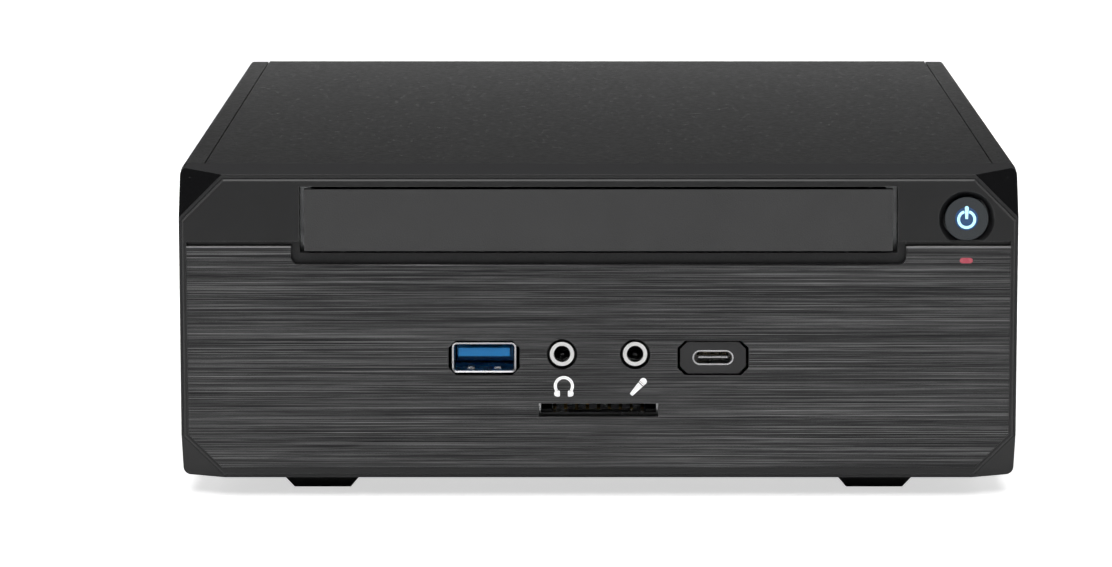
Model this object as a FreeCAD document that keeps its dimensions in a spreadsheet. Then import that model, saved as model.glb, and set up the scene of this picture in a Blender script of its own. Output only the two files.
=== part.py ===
"""A compact desktop computer case with its computer inside, as separate pieces, in millimetres.

Frame: +Z up, the front faces -Y, the origin lies under the middle of the object on the surface it
stands on. The front is a moulded bezel with four corner facets, an octagonal trim plate and a brushed
faceplate. Behind it stand a folded steel chassis, two wrapped side panels and a top cover that slides
off to the rear. Inside are the front connector board, the main board with its cooler, memory and ports,
a drive on its cage and a plug-on power converter fed from the inlet at the rear.
"""
import FreeCAD, Part
import itertools
import math
import os

import Sketcher
from FreeCAD import Placement, Rotation, Vector

doc = FreeCAD.newDocument("desktop_computer")
sheet = doc.addObject("Spreadsheet::Sheet", "dims")
parts = []
screws = []  # every pan-head screw; they share one node

# ---------------------------------------------------------------- driving dimensions
SIZES = {
    # overall
    "case_width": 182.0,  # over the bezel
    "overall_depth": 228.0,  # faceplate to the backs of the thumbscrews
    "foot_height": 4.0,  # floor to the underside of the bezel
    "bezel_height": 68.4,  # underside of the bezel to the top cover's surface
    # sheet metal and clearances
    "sheet": 1.0,
    "chassis_lift": 0.6,  # bezel underside to the underside of the chassis
    "fit_gap": 0.2,  # between fixed pieces that are slipped together
    "slide_gap": 0.1,  # between the cover and what it slides on
    "snug": 0.05,  # between a shank, shaft or inlay and its seat
    # bezel
    "bezel_depth": 9.0,
    "bezel_skin": 2.05,  # front wall behind the trim plate
    "bezel_wall": 2.2,  # top, bottom and sides
    "bezel_crown": 1.4,  # how far the top surface drops towards the front
    "bezel_keel": 0.3,  # how far the underside rises towards the front
    "bezel_round": 1.6,
    "facet_reach": 9.4,
    "facet_depth": 5.0,
    "boss_radius": 3.0,
    # trim plate
    "trim_thickness": 2.0,
    "trim_proud": 0.8,  # in front of the bezel's own front face
    "trim_margin": 0.65,  # from the bezel's side
    "trim_top_margin": 1.0,
    "trim_bottom_margin": 0.7,
    "trim_cut_top": 9.0,
    "trim_cut_bottom": 8.6,
    "trim_chamfer": 0.35,
    # brushed faceplate
    "plate_thickness": 1.2,
    "plate_proud": 0.15,  # in front of the trim plate
    "plate_rim": 1.0,
    "plate_bottom_rim": 1.75,
    "upper_band": 14.55,  # trim plate's top edge to the faceplate's
    "plate_cut": 7.2,
    "groove_height": 1.05,
    "groove_depth": 1.6,
    # drive bay
    "bay_width": 129.7,
    "bay_height": 14.75,
    "bay_top_margin": 1.55,  # from the trim plate's top edge
    "bay_notch_side": 1.85,  # the faceplate's notch, wider than the bay on each side
    "bay_notch_drop": 2.3,  # and lower than the bay
    "bay_notch_round": 1.7,
    "bay_cover_side_gap": 1.05,
    "bay_cover_top_gap": 0.65,
    "bay_cover_face": 2.0,
    "bay_cover_recess": 0.3,
    "bay_cover_rim": 1.2,
    "bay_cover_reach": 11.7,
    # power button and lights
    "button_inset": 11.3,  # centre to the bezel's side
    "button_drop": 8.6,  # centre to the trim plate's top edge
    "button_radius": 4.7,
    "button_gap": 0.3,
    "button_flare": 1.1,
    "button_recess": 0.35,
    "button_travel": 1.2,
    "button_length": 5.3,
    "button_flange_radius": 5.9,
    "button_stem_radius": 1.4,
    "lens_radius": 2.5,
    "lens_thickness": 1.0,
    "light_drop": 9.1,  # activity light under the button
    "light_width": 2.8,
    "light_height": 1.2,
    "switch_depth": 3.5,
    "switch_width": 6.2,
    # front connectors
    "port_height": 26.9,  # connector axis over the bezel's underside
    "port_cut_width": 15.5,
    "port_cut_height": 7.6,
    "port_cut_corner": 1.6,
    "port_spacing": 24.9,  # USB connectors either side of the middle
    "jack_spacing": 7.95,
    "jack_raise": 0.8,
    "jack_hole": 3.3,
    "jack_ring_radius": 2.65,
    "jack_bore": 1.8,
    "jack_body_width": 7.0,
    "jack_depth": 12.0,
    "usb_width": 13.2,
    "usb_height": 5.8,
    "usb_depth": 17.0,
    "usb_wall": 0.35,
    "usb_lip": 0.6,
    "usb_tongue": 1.84,
    "usb_c_width": 8.94,
    "usb_c_height": 3.26,
    "usb_c_wall": 0.3,
    "usb_c_depth": 12.0,
    "reader_height": 15.4,  # slot axis over the bezel's underside
    "reader_width": 26.0,
    "reader_slot": 2.9,
    "reader_depth": 28.0,
    "board_thickness": 1.6,
    "io_board_width": 84.0,
    "io_board_depth": 24.0,
    "tab_width": 6.0,
    # side panels and cover
    "side_inset": 0.2,
    "side_lip": 4.8,  # the side panel's visible strip on top
    "side_ledge": 7.0,  # the ledge under the cover's edge
    "side_flange": 11.0,
    "side_round": 1.2,
    "cover_gap": 0.3,
    "cover_flange": 6.0,
    "ear_width": 15.0,
    "ear_height": 13.5,
    "tongue_width": 16.0,
    "tongue_spacing": 42.0,
    "tongue_drop": 2.1,
    "tongue_reach": 4.0,
    "slot_width": 2.4,
    "slot_length": 34.0,
    "slot_pitch": 6.0,
    "slot_count": 22,
    # chassis
    "pan_flange": 10.0,
    "wall_foot": 8.0,
    "screw_radius": 1.3,
    "screw_head_radius": 2.7,
    "screw_head": 1.4,
    "rivet_radius": 1.5,
    "thumb_radius": 5.0,
    "thumb_head": 6.5,
    "thumb_shank": 1.7,
    "thumb_length": 7.0,
    "thumb_spacing": 110.0,
    "thumb_drop": 9.4,  # screw axis under the top surface
    # feet
    "foot_bottom": 12.4,
    "foot_top": 18.4,
    "foot_spacing": 121.8,
    "foot_front": 8.5,  # bezel front to the foot's broad end
    # main board, to the small form factor's standard
    "board_side": 170.0,
    "board_rear_gap": 0.4,
    "board_hole_side": 6.35,
    "board_hole_rear": 10.16,
    "board_hole_span_x": 157.48,
    "board_hole_span_y": 154.94,
    "standoff_height": 6.35,
    "standoff_radius": 2.6,
    "shield_width": 158.75,
    "shield_height": 44.45,
    "shield_under_board": 3.8,  # aperture's bottom under the board's top face
    # cooler
    "cooler_side": 80.0,
    "cooler_rear": 61.0,  # centre to the board's rear edge
    "cooler_base": 4.0,
    "cooler_fin_height": 13.0,
    "cooler_fin": 0.8,
    "cooler_fin_pitch": 3.3,
    "cpu_height": 7.5,
    "fan_height": 12.0,
    "fan_rim": 3.0,  # the frame's wall beside its throat
    "fan_screw_inset": 4.0,
    "fan_hub": 15.0,
    "fan_tip_gap": 0.8,
    "fan_shaft": 1.5,
    "fan_floor": 2.0,
    "blade_pitch": 36.0,
    "blade_count": 9,
    # memory
    "module_length": 133.35,
    "module_height": 31.25,
    "module_thickness": 1.27,
    "module_pitch": 9.5,
    "module_front": 22.0,  # first slot to the board's front edge
    # drive
    "cage_width": 129.2,
    "cage_depth": 106.0,
    "drive_width": 69.85,
    "drive_length": 100.45,
    "drive_height": 7.0,
    "drive_gap": 4.0,
    # power
    "inlet_inset": 17.0,  # inlet axis to the case's side
    "inlet_drop": 11.4,  # inlet axis under the top surface
    "inlet_nose": 4.0,
    "inlet_bore": 2.8,
    "inlet_pin": 1.05,
    "converter_width": 51.6,
    "lead_radius": 1.5,
}


class Size:
    """A length known twice: as the sheet expression that drives the model, and as its present value."""

    def __init__(self, text, value):
        self.text = text
        self.value = value

    def __add__(self, other):
        other = as_size(other)
        return Size(f"({self.text} + {other.text})", self.value + other.value)

    def __sub__(self, other):
        other = as_size(other)
        return Size(f"({self.text} - {other.text})", self.value - other.value)

    def __mul__(self, other):
        other = as_size(other)
        return Size(f"({self.text} * {other.text})", self.value * other.value)

    def __truediv__(self, other):
        other = as_size(other)
        return Size(f"({self.text} / {other.text})", self.value / other.value)

    def __neg__(self):
        return Size(f"(-1 * {self.text})", -self.value)

    def __radd__(self, other):
        return as_size(other) + self

    def __rsub__(self, other):
        return as_size(other) - self

    def __rmul__(self, other):
        return as_size(other) * self


def as_size(x):
    return x if isinstance(x, Size) else Size(f"{float(x):.6f}", float(x))


class Dimensions:
    """Each driving dimension as an attribute, backed by a cell of the sheet."""

    def __init__(self, values):
        for row, (name, value) in enumerate(values.items(), start=1):
            sheet.set(f"A{row}", str(value))
            sheet.setAlias(f"A{row}", name)
            setattr(self, name, Size(f"dims.{name}", float(value)))


d = Dimensions(SIZES)
doc.recompute()

# ---------------------------------------------------------------- places that follow from them
FRONT = -d.overall_depth / 2  # the faceplate's outer face
BACK = d.overall_depth / 2 - d.thumb_head - d.sheet - d.slide_gap  # the rear panel's outer face
BASE = d.foot_height  # the bezel's underside
TOP = d.foot_height + d.bezel_height  # the cover's and the bezel's upper surface
HALF = d.case_width / 2
BEZEL_FRONT = FRONT + d.plate_proud + d.trim_proud
BEZEL_BACK = FRONT + d.bezel_depth
TRIM_FRONT = FRONT + d.plate_proud
TRIM_BACK = TRIM_FRONT + d.trim_thickness
BEZEL_INNER = TRIM_BACK + d.bezel_skin
FACE_TOP = TOP - d.bezel_crown
WALL_BACK = BEZEL_BACK + d.sheet  # the front wall's inner face
REAR_INNER = BACK - d.sheet
CHASSIS = BASE + d.chassis_lift
FLOOR = CHASSIS + d.sheet  # the underside of the base pan
FLOOR_TOP = FLOOR + d.sheet
SIDE_OUT = HALF - d.side_inset
WALL_HALF = SIDE_OUT - d.sheet - d.fit_gap  # half width of the walls between the side panels
LEDGE_TOP = TOP - d.sheet - d.slide_gap
LEDGE_UNDER = LEDGE_TOP - d.sheet
WALL_TOP = LEDGE_UNDER - d.slide_gap
BOARD_UNDER = FLOOR_TOP + d.standoff_height
BOARD_TOP = BOARD_UNDER + d.board_thickness
BOARD_BACK = REAR_INNER - d.board_rear_gap
BOARD_FRONT = BOARD_BACK - d.board_side
TRIM_TOP = FACE_TOP - d.trim_top_margin
TRIM_HALF = HALF - d.trim_margin
TRIM_BOTTOM = BASE + d.bezel_keel + d.trim_bottom_margin
PLATE_HALF = TRIM_HALF - d.plate_rim
PLATE_BOTTOM = TRIM_BOTTOM + d.plate_bottom_rim
PLATE_TOP = TRIM_TOP - d.upper_band
PLATE_BACK = FRONT + d.plate_thickness
BAY_TOP = TRIM_TOP - d.bay_top_margin
BAY_BOTTOM = BAY_TOP - d.bay_height
BAY_HALF = d.bay_width / 2
NOTCH_HALF = BAY_HALF + d.bay_notch_side
NOTCH_BOTTOM = BAY_BOTTOM - d.bay_notch_drop
BUTTON_X = HALF - d.button_inset
BUTTON_Z = TRIM_TOP - d.button_drop
LIGHT_Z = BUTTON_Z - d.light_drop
PORT_Z = BASE + d.port_height
JACK_Z = PORT_Z + d.jack_raise
READER_Z = BASE + d.reader_height
IO_TOP = PORT_Z - d.usb_height / 2  # the connector board's upper face
IO_UNDER = IO_TOP - d.board_thickness
THUMB_Z = TOP - d.thumb_drop
INLET_X = -HALF + d.inlet_inset
INLET_Z = TOP - d.inlet_drop
COOLER_Y = BOARD_BACK - d.cooler_rear
COOLER_Z = BOARD_TOP + d.cpu_height
FAN_Z = COOLER_Z + d.cooler_base + d.cooler_fin_height
FAN_THROAT = d.cooler_side / 2 - d.fan_rim
CAGE_FLOOR = BAY_BOTTOM - d.sheet - d.snug


# ---------------------------------------------------------------- modelling helpers
numbers = itertools.count(1)


def unique(stem):
    return f"{stem}_{next(numbers)}"


def bind(obj, prop, size):
    obj.setExpression(prop, as_size(size).text)


def place(obj, *at):
    for letter, size in zip("xyz", at):
        bind(obj, f".Placement.Base.{letter}", size)
    return obj


def keep(obj, label):
    """Names a finished sub-part and puts it on the list that is written out."""
    obj.Label = label
    parts.append(obj)
    return obj


def about(centre, width):
    """The (low, high) pair of a span of this width about its centre."""
    return as_size(centre) - as_size(width) / 2, as_size(centre) + as_size(width) / 2


def upto(high, length):
    return high - length, high


def onto(low, length):
    return low, low + length


def box(x, y, z):
    """A block between (low, high) pairs along each axis."""
    made = doc.addObject("Part::Box", unique("Box"))
    for prop, (low, high) in zip(("Length", "Width", "Height"), (x, y, z)):
        bind(made, prop, as_size(high) - low)
    return place(made, x[0], y[0], z[0])


TURNS = {"x": Rotation(Vector(0, 1, 0), 90), "y": Rotation(Vector(1, 0, 0), -90), "z": Rotation()}


def rod(radius, axis, start, length):
    """A cylinder from a start point, towards the plus side of its axis."""
    made = doc.addObject("Part::Cylinder", unique("Rod"))
    made.Placement = Placement(Vector(), TURNS[axis])
    bind(made, "Radius", radius)
    bind(made, "Height", length)
    return place(made, *start)


def cone(radius_1, radius_2, axis, start, length):
    made = doc.addObject("Part::Cone", unique("Cone"))
    made.Placement = Placement(Vector(), TURNS[axis])
    bind(made, "Radius1", radius_1)
    bind(made, "Radius2", radius_2)
    bind(made, "Height", length)
    return place(made, *start)


def fuse(*shapes):
    made = doc.addObject("Part::MultiFuse", unique("Fuse"))
    made.Shapes = list(shapes)
    return made


def group(*shapes):
    """Separate solids that share one node."""
    made = doc.addObject("Part::Compound", unique("Group"))
    made.Links = list(shapes)
    return made


def cut(base, *tools):
    made = doc.addObject("Part::Cut", unique("Cut"))
    made.Base = base
    made.Tool = tools[0] if len(tools) == 1 else group(*tools)
    return made


def screw(axis, sign, seat, shank):
    """A pan-head screw whose head rests on `seat` and whose shank runs `shank` to one side."""
    along = {"x": 0, "y": 1, "z": 2}[axis]
    head_start = list(seat)
    shank_start = list(seat)
    if sign > 0:
        head_start[along] = seat[along] - d.screw_head
    else:
        shank_start[along] = seat[along] - shank
    head = rod(d.screw_head_radius, axis, head_start, d.screw_head)
    return fuse(head, rod(d.screw_radius, axis, shank_start, shank))


# PartDesign: pads and pockets both run from their sketch towards +Y on an XZ sketch, +X or -X on YZ, and
# up (pads) or down (pockets) on XY.
ROLES = {"XY": "XY_Plane", "XZ": "XZ_Plane", "YZ": "YZ_Plane"}


def new_body():
    return doc.addObject("PartDesign::Body", unique("Body"))


def datum(body, role):
    return next(f for f in body.Origin.OriginFeatures if f.Role == role)


def sketch(body, plane, at):
    """A sketch on one of the body's own origin planes, moved along that plane's axis to `at`."""
    made = body.newObject("Sketcher::SketchObject", unique("Sketch"))
    made.AttachmentSupport = [(datum(body, ROLES[plane]), "")]
    made.MapMode = "FlatFace"
    at = as_size(at)
    bind(made, ".AttachmentOffset.Base.z", -at if plane == "XZ" else at)
    return made


def hold(sk, geometry, point, u, v):
    """Ties a point of the sketch to its place from the sketch's origin."""
    for kind, size in (("DistanceX", as_size(u)), ("DistanceY", as_size(v))):
        number = sk.addConstraint(Sketcher.Constraint(kind, -1, 1, geometry, point, size.value))
        bind(sk, f"Constraints[{number}]", size)


def polygon(sk, points):
    """A closed outline whose every corner is tied to its place."""
    points = [(as_size(u), as_size(v)) for u, v in points]
    first = sk.GeometryCount
    for (u1, v1), (u2, v2) in zip(points, points[1:] + points[:1]):
        sk.addGeometry(Part.LineSegment(Vector(u1.value, v1.value, 0), Vector(u2.value, v2.value, 0)))
    for i, (u, v) in enumerate(points):
        following = first + (i + 1) % len(points)
        sk.addConstraint(Sketcher.Constraint("Coincident", first + i, 2, following, 1))
        hold(sk, first + i, 1, u, v)
    return sk


def rectangle(sk, u, v):
    return polygon(sk, [(u[0], v[0]), (u[1], v[0]), (u[1], v[1]), (u[0], v[1])])


def circle(sk, u, v, radius):
    u, v, radius = as_size(u), as_size(v), as_size(radius)
    made = sk.addGeometry(Part.Circle(Vector(u.value, v.value, 0), Vector(0, 0, 1), radius.value))
    hold(sk, made, 3, u, v)
    number = sk.addConstraint(Sketcher.Constraint("Radius", made, radius.value))
    bind(sk, f"Constraints[{number}]", radius)
    return sk


def pill(sk, start, end, radius):
    """A slot with round ends about two centres."""
    centres = [(as_size(u), as_size(v)) for u, v in (start, end)]
    a, b = (Vector(u.value, v.value, 0) for u, v in centres)
    radius = as_size(radius)
    side = (b - a).normalize().cross(Vector(0, 0, 1)) * radius.value
    heading = math.atan2(side.y, side.x)
    first = sk.addGeometry(Part.LineSegment(a + side, b + side))
    ends = []
    for centre, turn in ((b, heading), (a, heading + math.pi)):
        ring = Part.Circle(centre, Vector(0, 0, 1), radius.value)
        ends.append(sk.addGeometry(Part.ArcOfCircle(ring, turn, turn + math.pi)))
    second = sk.addGeometry(Part.LineSegment(b - side, a - side))
    for pair in ((first, 2, ends[0], 1), (ends[0], 2, second, 1), (second, 2, ends[1], 1),
                 (ends[1], 2, first, 1)):
        sk.addConstraint(Sketcher.Constraint("Tangent", *pair))
    for arc, (u, v) in zip(ends, (centres[1], centres[0])):
        hold(sk, arc, 3, u, v)
        number = sk.addConstraint(Sketcher.Constraint("Radius", arc, radius.value))
        bind(sk, f"Constraints[{number}]", radius)
    return sk


def pad(body, sk, length, plane):
    made = body.newObject("PartDesign::Pad", unique("Pad"))
    made.Profile = sk
    bind(made, "Length", length)
    made.Reversed = plane == "XZ"
    body.Tip = made
    return made


def pocket(body, sk, length):
    made = body.newObject("PartDesign::Pocket", unique("Pocket"))
    made.Profile = sk
    bind(made, "Length", length)
    body.Tip = made
    return made


def slab(points, y):
    """A flat piece with this outline, between two depths."""
    body = new_body()
    pad(body, polygon(sketch(body, "XZ", y[0]), points), y[1] - y[0], "XZ")
    return body


def repeat(body, feature, role, length, count):
    """A row of copies of a feature along one of the body's own axes."""
    made = body.newObject("PartDesign::LinearPattern", unique("Row"))
    made.Originals = [feature]
    made.Direction = (datum(body, role), [""])
    bind(made, "Length", length)
    bind(made, "Occurrences", count)
    body.Tip = made
    return made


def soften(body, kind, prop, size, wanted):
    """A fillet or chamfer on the edges that `wanted` picks from the body as it stands."""
    doc.recompute()
    names = [f"Edge{i}" for i, e in enumerate(body.Tip.Shape.Edges, start=1) if wanted(e)]
    base = body.Tip
    made = body.newObject(f"PartDesign::{kind}", unique(kind))
    made.Base = (base, names)
    bind(made, prop, size)
    body.Tip = made
    return made


def ends_of(edge):
    return edge.Vertexes[0].Point, edge.Vertexes[-1].Point


def runs_along(edge, axis):
    """Whether a straight edge runs mostly along one axis."""
    a, b = ends_of(edge)
    step = b - a
    return abs(step[axis]) > 0.9 * step.Length > 0


def near(a, b):
    return abs(a - as_size(b).value) < 0.01


def cut_corners(u, v, corner):
    """A rectangle with its four corners cut off, as outline points."""
    (u0, u1), (v0, v1) = u, v
    return [
        (u0 + corner, v0), (u1 - corner, v0), (u1, v0 + corner), (u1, v1 - corner),
        (u1 - corner, v1), (u0 + corner, v1), (u0, v1 - corner), (u0, v0 + corner),
    ]


# ---------------------------------------------------------------- front: bezel, trim plate and faceplate
PORT_XS = (-d.port_spacing, d.port_spacing)
JACK_XS = (-d.jack_spacing, d.jack_spacing)
BOSSES = [(side * (HALF - 11.0), height) for side in (-1, 1) for height in (BASE + 10.0, BASE + 36.0)]


def facet(side, upright):
    """The half space outside one slanting corner facet of the bezel, as a thick triangular slab."""
    edge = FACE_TOP if upright > 0 else BASE + d.bezel_keel
    x, y, z = side * HALF.value, BEZEL_FRONT.value, edge.value
    reach, deep = d.facet_reach.value, d.facet_depth.value
    a = Vector(x, y, z - upright * reach)
    b = Vector(x - side * reach, y, z)
    c = Vector(x, y + deep, z)
    middle = (a + b + c) / 3
    corners = [middle + (p - middle) * 4 for p in (a, b, c)]
    outward = (b - a).cross(c - a).normalize()
    if outward.y > 0:
        outward = -outward
    made = doc.addObject("Part::Feature", unique("Facet"))
    made.Shape = Part.Face(Part.makePolygon(corners + corners[:1])).extrude(outward * 30)
    return made


def connector_openings(y, spare):
    """Tools that let the front connectors through a layer of the front between two depths."""
    grow = 2 * spare
    tools = [box(about(x, d.port_cut_width + grow), y, about(PORT_Z, d.port_cut_height + grow))
             for x in PORT_XS]
    tools += [rod(d.jack_hole + spare, "y", (x, y[0], JACK_Z), y[1] - y[0]) for x in JACK_XS]
    tools.append(box(about(0, d.reader_width + grow), y, about(READER_Z, d.reader_slot + grow)))
    tools.append(box(about(BUTTON_X, d.light_width + grow), y, about(LIGHT_Z, d.light_height + grow)))
    return tools


def front_bezel():
    body = new_body()
    outline = [(BEZEL_FRONT, BASE + d.bezel_keel), (BEZEL_BACK, BASE), (BEZEL_BACK, TOP),
               (BEZEL_FRONT, FACE_TOP)]
    pad(body, polygon(sketch(body, "YZ", -HALF), outline), d.case_width, "YZ")
    soften(body, "Fillet", "Radius", d.bezel_round, lambda e: runs_along(e, 1))
    inside = about(0, d.case_width - 2 * d.bezel_wall)
    cavity = rectangle(sketch(body, "XZ", BEZEL_INNER), inside,
                       (BASE + d.bezel_wall, FACE_TOP - d.bezel_wall / 2))
    pocket(body, cavity, BEZEL_BACK - BEZEL_INNER)
    pocket(body, polygon(sketch(body, "XZ", BEZEL_FRONT), trim_outline(d.snug)), TRIM_BACK - BEZEL_FRONT)
    depth = (BEZEL_FRONT, BEZEL_INNER + 1)
    tools = [facet(side, upright) for side in (-1, 1) for upright in (-1, 1)]
    tools.append(box(about(0, d.bay_width), depth, (BAY_BOTTOM, BAY_TOP)))
    tools.append(rod(d.button_radius + d.button_gap, "y", (BUTTON_X, depth[0], BUTTON_Z),
                     depth[1] - depth[0]))
    tools += connector_openings(depth, 0.3)
    shell = cut(body, *tools)
    bosses = [rod(d.boss_radius, "y", (x, BEZEL_INNER, z), BEZEL_BACK - BEZEL_INNER) for x, z in BOSSES]
    pilots = [rod(d.screw_radius + d.snug, "y", (x, BEZEL_INNER, z), BEZEL_BACK - BEZEL_INNER)
              for x, z in BOSSES]
    return keep(cut(fuse(shell, *bosses), *pilots), "front_bezel")


def trim_outline(grow):
    """The octagon of the trim plate, grown by a clearance all round."""
    half, low, high = TRIM_HALF + grow, TRIM_BOTTOM - grow, TRIM_TOP + grow
    top, bottom = d.trim_cut_top + grow * 0.6, d.trim_cut_bottom + grow * 0.6
    return [
        (-half + bottom, low), (half - bottom, low), (half, low + bottom), (half, high - top),
        (half - top, high), (-half + top, high), (-half, high - top), (-half, low + bottom),
    ]


def plate_outline(grow, top):
    """The faceplate's outline without its notch, grown by a clearance, up to a given height."""
    half, low, corner = PLATE_HALF + grow, PLATE_BOTTOM - grow, d.plate_cut + grow * 0.6
    return [(-half + corner, low), (half - corner, low), (half, low + corner), (half, top), (-half, top),
            (-half, low + corner)]


def trim_plate():
    body = new_body()
    pad(body, polygon(sketch(body, "XZ", TRIM_FRONT), trim_outline(0)), d.trim_thickness, "XZ")
    soften(body, "Chamfer", "Size", d.trim_chamfer,
           lambda e: all(near(p.y, TRIM_FRONT) for p in ends_of(e)))
    seat = plate_outline(d.snug, PLATE_TOP + d.snug)
    pocket(body, polygon(sketch(body, "XZ", TRIM_FRONT), seat), PLATE_BACK - TRIM_FRONT)
    groove = rectangle(sketch(body, "XZ", TRIM_FRONT), about(0, 2 * PLATE_HALF),
                       onto(PLATE_TOP, d.groove_height))
    pocket(body, groove, d.groove_depth)
    opening = [(-NOTCH_HALF, NOTCH_BOTTOM), (NOTCH_HALF, NOTCH_BOTTOM),
               (NOTCH_HALF, PLATE_TOP + d.groove_height),
               (BAY_HALF, PLATE_TOP + d.groove_height), (BAY_HALF, BAY_TOP), (-BAY_HALF, BAY_TOP),
               (-BAY_HALF, PLATE_TOP + d.groove_height), (-NOTCH_HALF, PLATE_TOP + d.groove_height)]
    pocket(body, polygon(sketch(body, "XZ", TRIM_FRONT), opening), d.trim_thickness)
    hole = d.button_radius + d.button_gap
    through = (TRIM_FRONT, TRIM_BACK)
    tools = [rod(hole, "y", (BUTTON_X, TRIM_FRONT, BUTTON_Z), d.trim_thickness)]
    tools.append(cone(hole + d.button_flare, hole, "y", (BUTTON_X, TRIM_FRONT, BUTTON_Z), d.button_flare))
    return keep(cut(body, *tools, *connector_openings(through, 0.3)), "trim_plate")


def brushed_faceplate():
    body = new_body()
    low = plate_outline(0, PLATE_TOP)
    notched = low[:4] + [(NOTCH_HALF, PLATE_TOP), (NOTCH_HALF, NOTCH_BOTTOM), (-NOTCH_HALF, NOTCH_BOTTOM),
                         (-NOTCH_HALF, PLATE_TOP)] + low[4:]
    pad(body, polygon(sketch(body, "XZ", FRONT), notched), d.plate_thickness, "XZ")
    soften(body, "Fillet", "Radius", d.bay_notch_round,
           lambda e: runs_along(e, 1) and near(ends_of(e)[0].z, NOTCH_BOTTOM))
    for x in PORT_XS:
        outline = cut_corners(about(x, d.port_cut_width), about(PORT_Z, d.port_cut_height),
                              d.port_cut_corner)
        pocket(body, polygon(sketch(body, "XZ", FRONT), outline), d.plate_thickness)
    holes = sketch(body, "XZ", FRONT)
    for x in JACK_XS:
        circle(holes, x, JACK_Z, d.jack_hole)
    rectangle(holes, about(0, d.reader_width), about(READER_Z, d.reader_slot))
    light = (d.light_width - d.light_height) / 2
    pill(holes, (BUTTON_X - light, LIGHT_Z), (BUTTON_X + light, LIGHT_Z), d.light_height / 2 + d.snug)
    pocket(body, holes, d.plate_thickness)
    return keep(body, "brushed_faceplate")


def drive_bay_cover():
    face = (FRONT + d.bay_cover_recess, FRONT + d.bay_cover_recess + d.bay_cover_face)
    half = BAY_HALF - d.bay_cover_side_gap
    low, high = BAY_BOTTOM + d.bay_cover_top_gap, BAY_TOP - d.bay_cover_top_gap
    plate = box(about(0, 2 * half), face, (low, high))
    x = (-half + d.bay_cover_rim, half - d.bay_cover_rim)
    z = (low + d.bay_cover_rim / 2, high - d.bay_cover_rim / 2)
    rim = box(x, (face[1], FRONT + d.bay_cover_reach), z)
    hollow = box((x[0] + d.bay_cover_rim, x[1] - d.bay_cover_rim), (face[1], FRONT + d.bay_cover_reach),
                 (z[0] + d.bay_cover_rim, z[1] - d.bay_cover_rim))
    return keep(fuse(plate, cut(rim, hollow)), "drive_bay_cover")


def button_parts():
    """The moving cap with its stem and lens, and what it works on behind the front wall."""
    front = FRONT + d.button_recess
    at = (BUTTON_X, front, BUTTON_Z)
    cap = rod(d.button_radius, "y", at, d.button_length)
    flange_y = front + d.button_length - 1.2
    flange = rod(d.button_flange_radius, "y", (BUTTON_X, flange_y, BUTTON_Z), 1.2)
    stem_end = WALL_BACK + d.switch_depth - 0.5 - d.button_travel
    stem = rod(d.button_stem_radius, "y", (BUTTON_X, flange_y, BUTTON_Z), stem_end - flange_y)
    window = rod(d.lens_radius + d.snug, "y", at, d.lens_thickness)
    keep(cut(fuse(cap, flange, stem), window), "power_button")
    keep(rod(d.lens_radius, "y", at, d.lens_thickness), "power_symbol_lens")
    housing = box(about(BUTTON_X, d.switch_width), onto(WALL_BACK, d.switch_depth),
                  about(BUTTON_Z, d.switch_width))
    bore = rod(d.button_stem_radius + d.snug, "y", (BUTTON_X, WALL_BACK, BUTTON_Z), d.switch_depth - 0.3)
    keep(cut(housing, bore), "power_switch")
    face = WALL_BACK + d.switch_depth
    board = box(about(BUTTON_X, 14.0), onto(face, d.board_thickness), (LIGHT_Z - 4.0, BUTTON_Z + 6.0))
    posts = [rod(1.5, "y", (BUTTON_X + side * 5.0, WALL_BACK, LIGHT_Z + 4.2), d.switch_depth)
             for side in (-1, 1)]
    keep(fuse(board, *posts), "switch_board")
    led = box(about(BUTTON_X, 3.0), upto(face, 1.4), about(LIGHT_Z, 2.4))
    second = box(about(BUTTON_X + 4.6, 1.8), upto(face, 1.0), about(BUTTON_Z, 3.0))
    keep(group(led, second), "status_leds")
    body = new_body()
    light = (d.light_width - d.light_height) / 2
    ends = (BUTTON_X - light, LIGHT_Z), (BUTTON_X + light, LIGHT_Z)
    pad(body, pill(sketch(body, "XZ", FRONT), *ends, d.light_height / 2), face - 1.5 - FRONT, "XZ")
    keep(body, "activity_light_pipe")


# ---------------------------------------------------------------- front connectors
def usb_shell(x, z, mouth, facing):
    """A USB-A shell with its flared lip, its mouth facing -Y (facing -1) or +Y (facing 1)."""
    run = (mouth, mouth + d.usb_depth) if facing < 0 else (mouth - d.usb_depth, mouth)
    lip = onto(mouth, 0.8) if facing < 0 else upto(mouth, 0.8)
    inner = (mouth, mouth + d.usb_depth - 1.0) if facing < 0 else (mouth - d.usb_depth + 1.0, mouth)
    outside = box(about(x, d.usb_width), run, about(z, d.usb_height))
    wide, high = d.usb_width + 2 * d.usb_lip, d.usb_height + 2 * d.usb_lip
    flare = slab(cut_corners(about(x, wide), about(z, high), 1.3), lip)
    wall = 2 * d.usb_wall
    return cut(fuse(outside, flare), box(about(x, d.usb_width - wall), inner,
                                         about(z, d.usb_height - wall)))


def usb_tongue(x, z, mouth, facing):
    """The moulded block at the back of a USB-A shell with the tongue that carries the contacts."""
    deep = d.usb_depth - 1.0
    block = (mouth + deep - 5.0, mouth + deep) if facing < 0 else (mouth - deep, mouth - deep + 5.0)
    reach = (mouth + 1.2, mouth + deep) if facing < 0 else (mouth - deep, mouth - 1.2)
    wall = 2 * (d.usb_wall + d.snug)
    back = box(about(x, d.usb_width - wall), block, about(z, d.usb_height - wall))
    low = z + d.usb_height / 2 - d.usb_wall - 0.6 - d.usb_tongue
    return fuse(back, box(about(x, 11.2), reach, onto(low, d.usb_tongue)))


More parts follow.
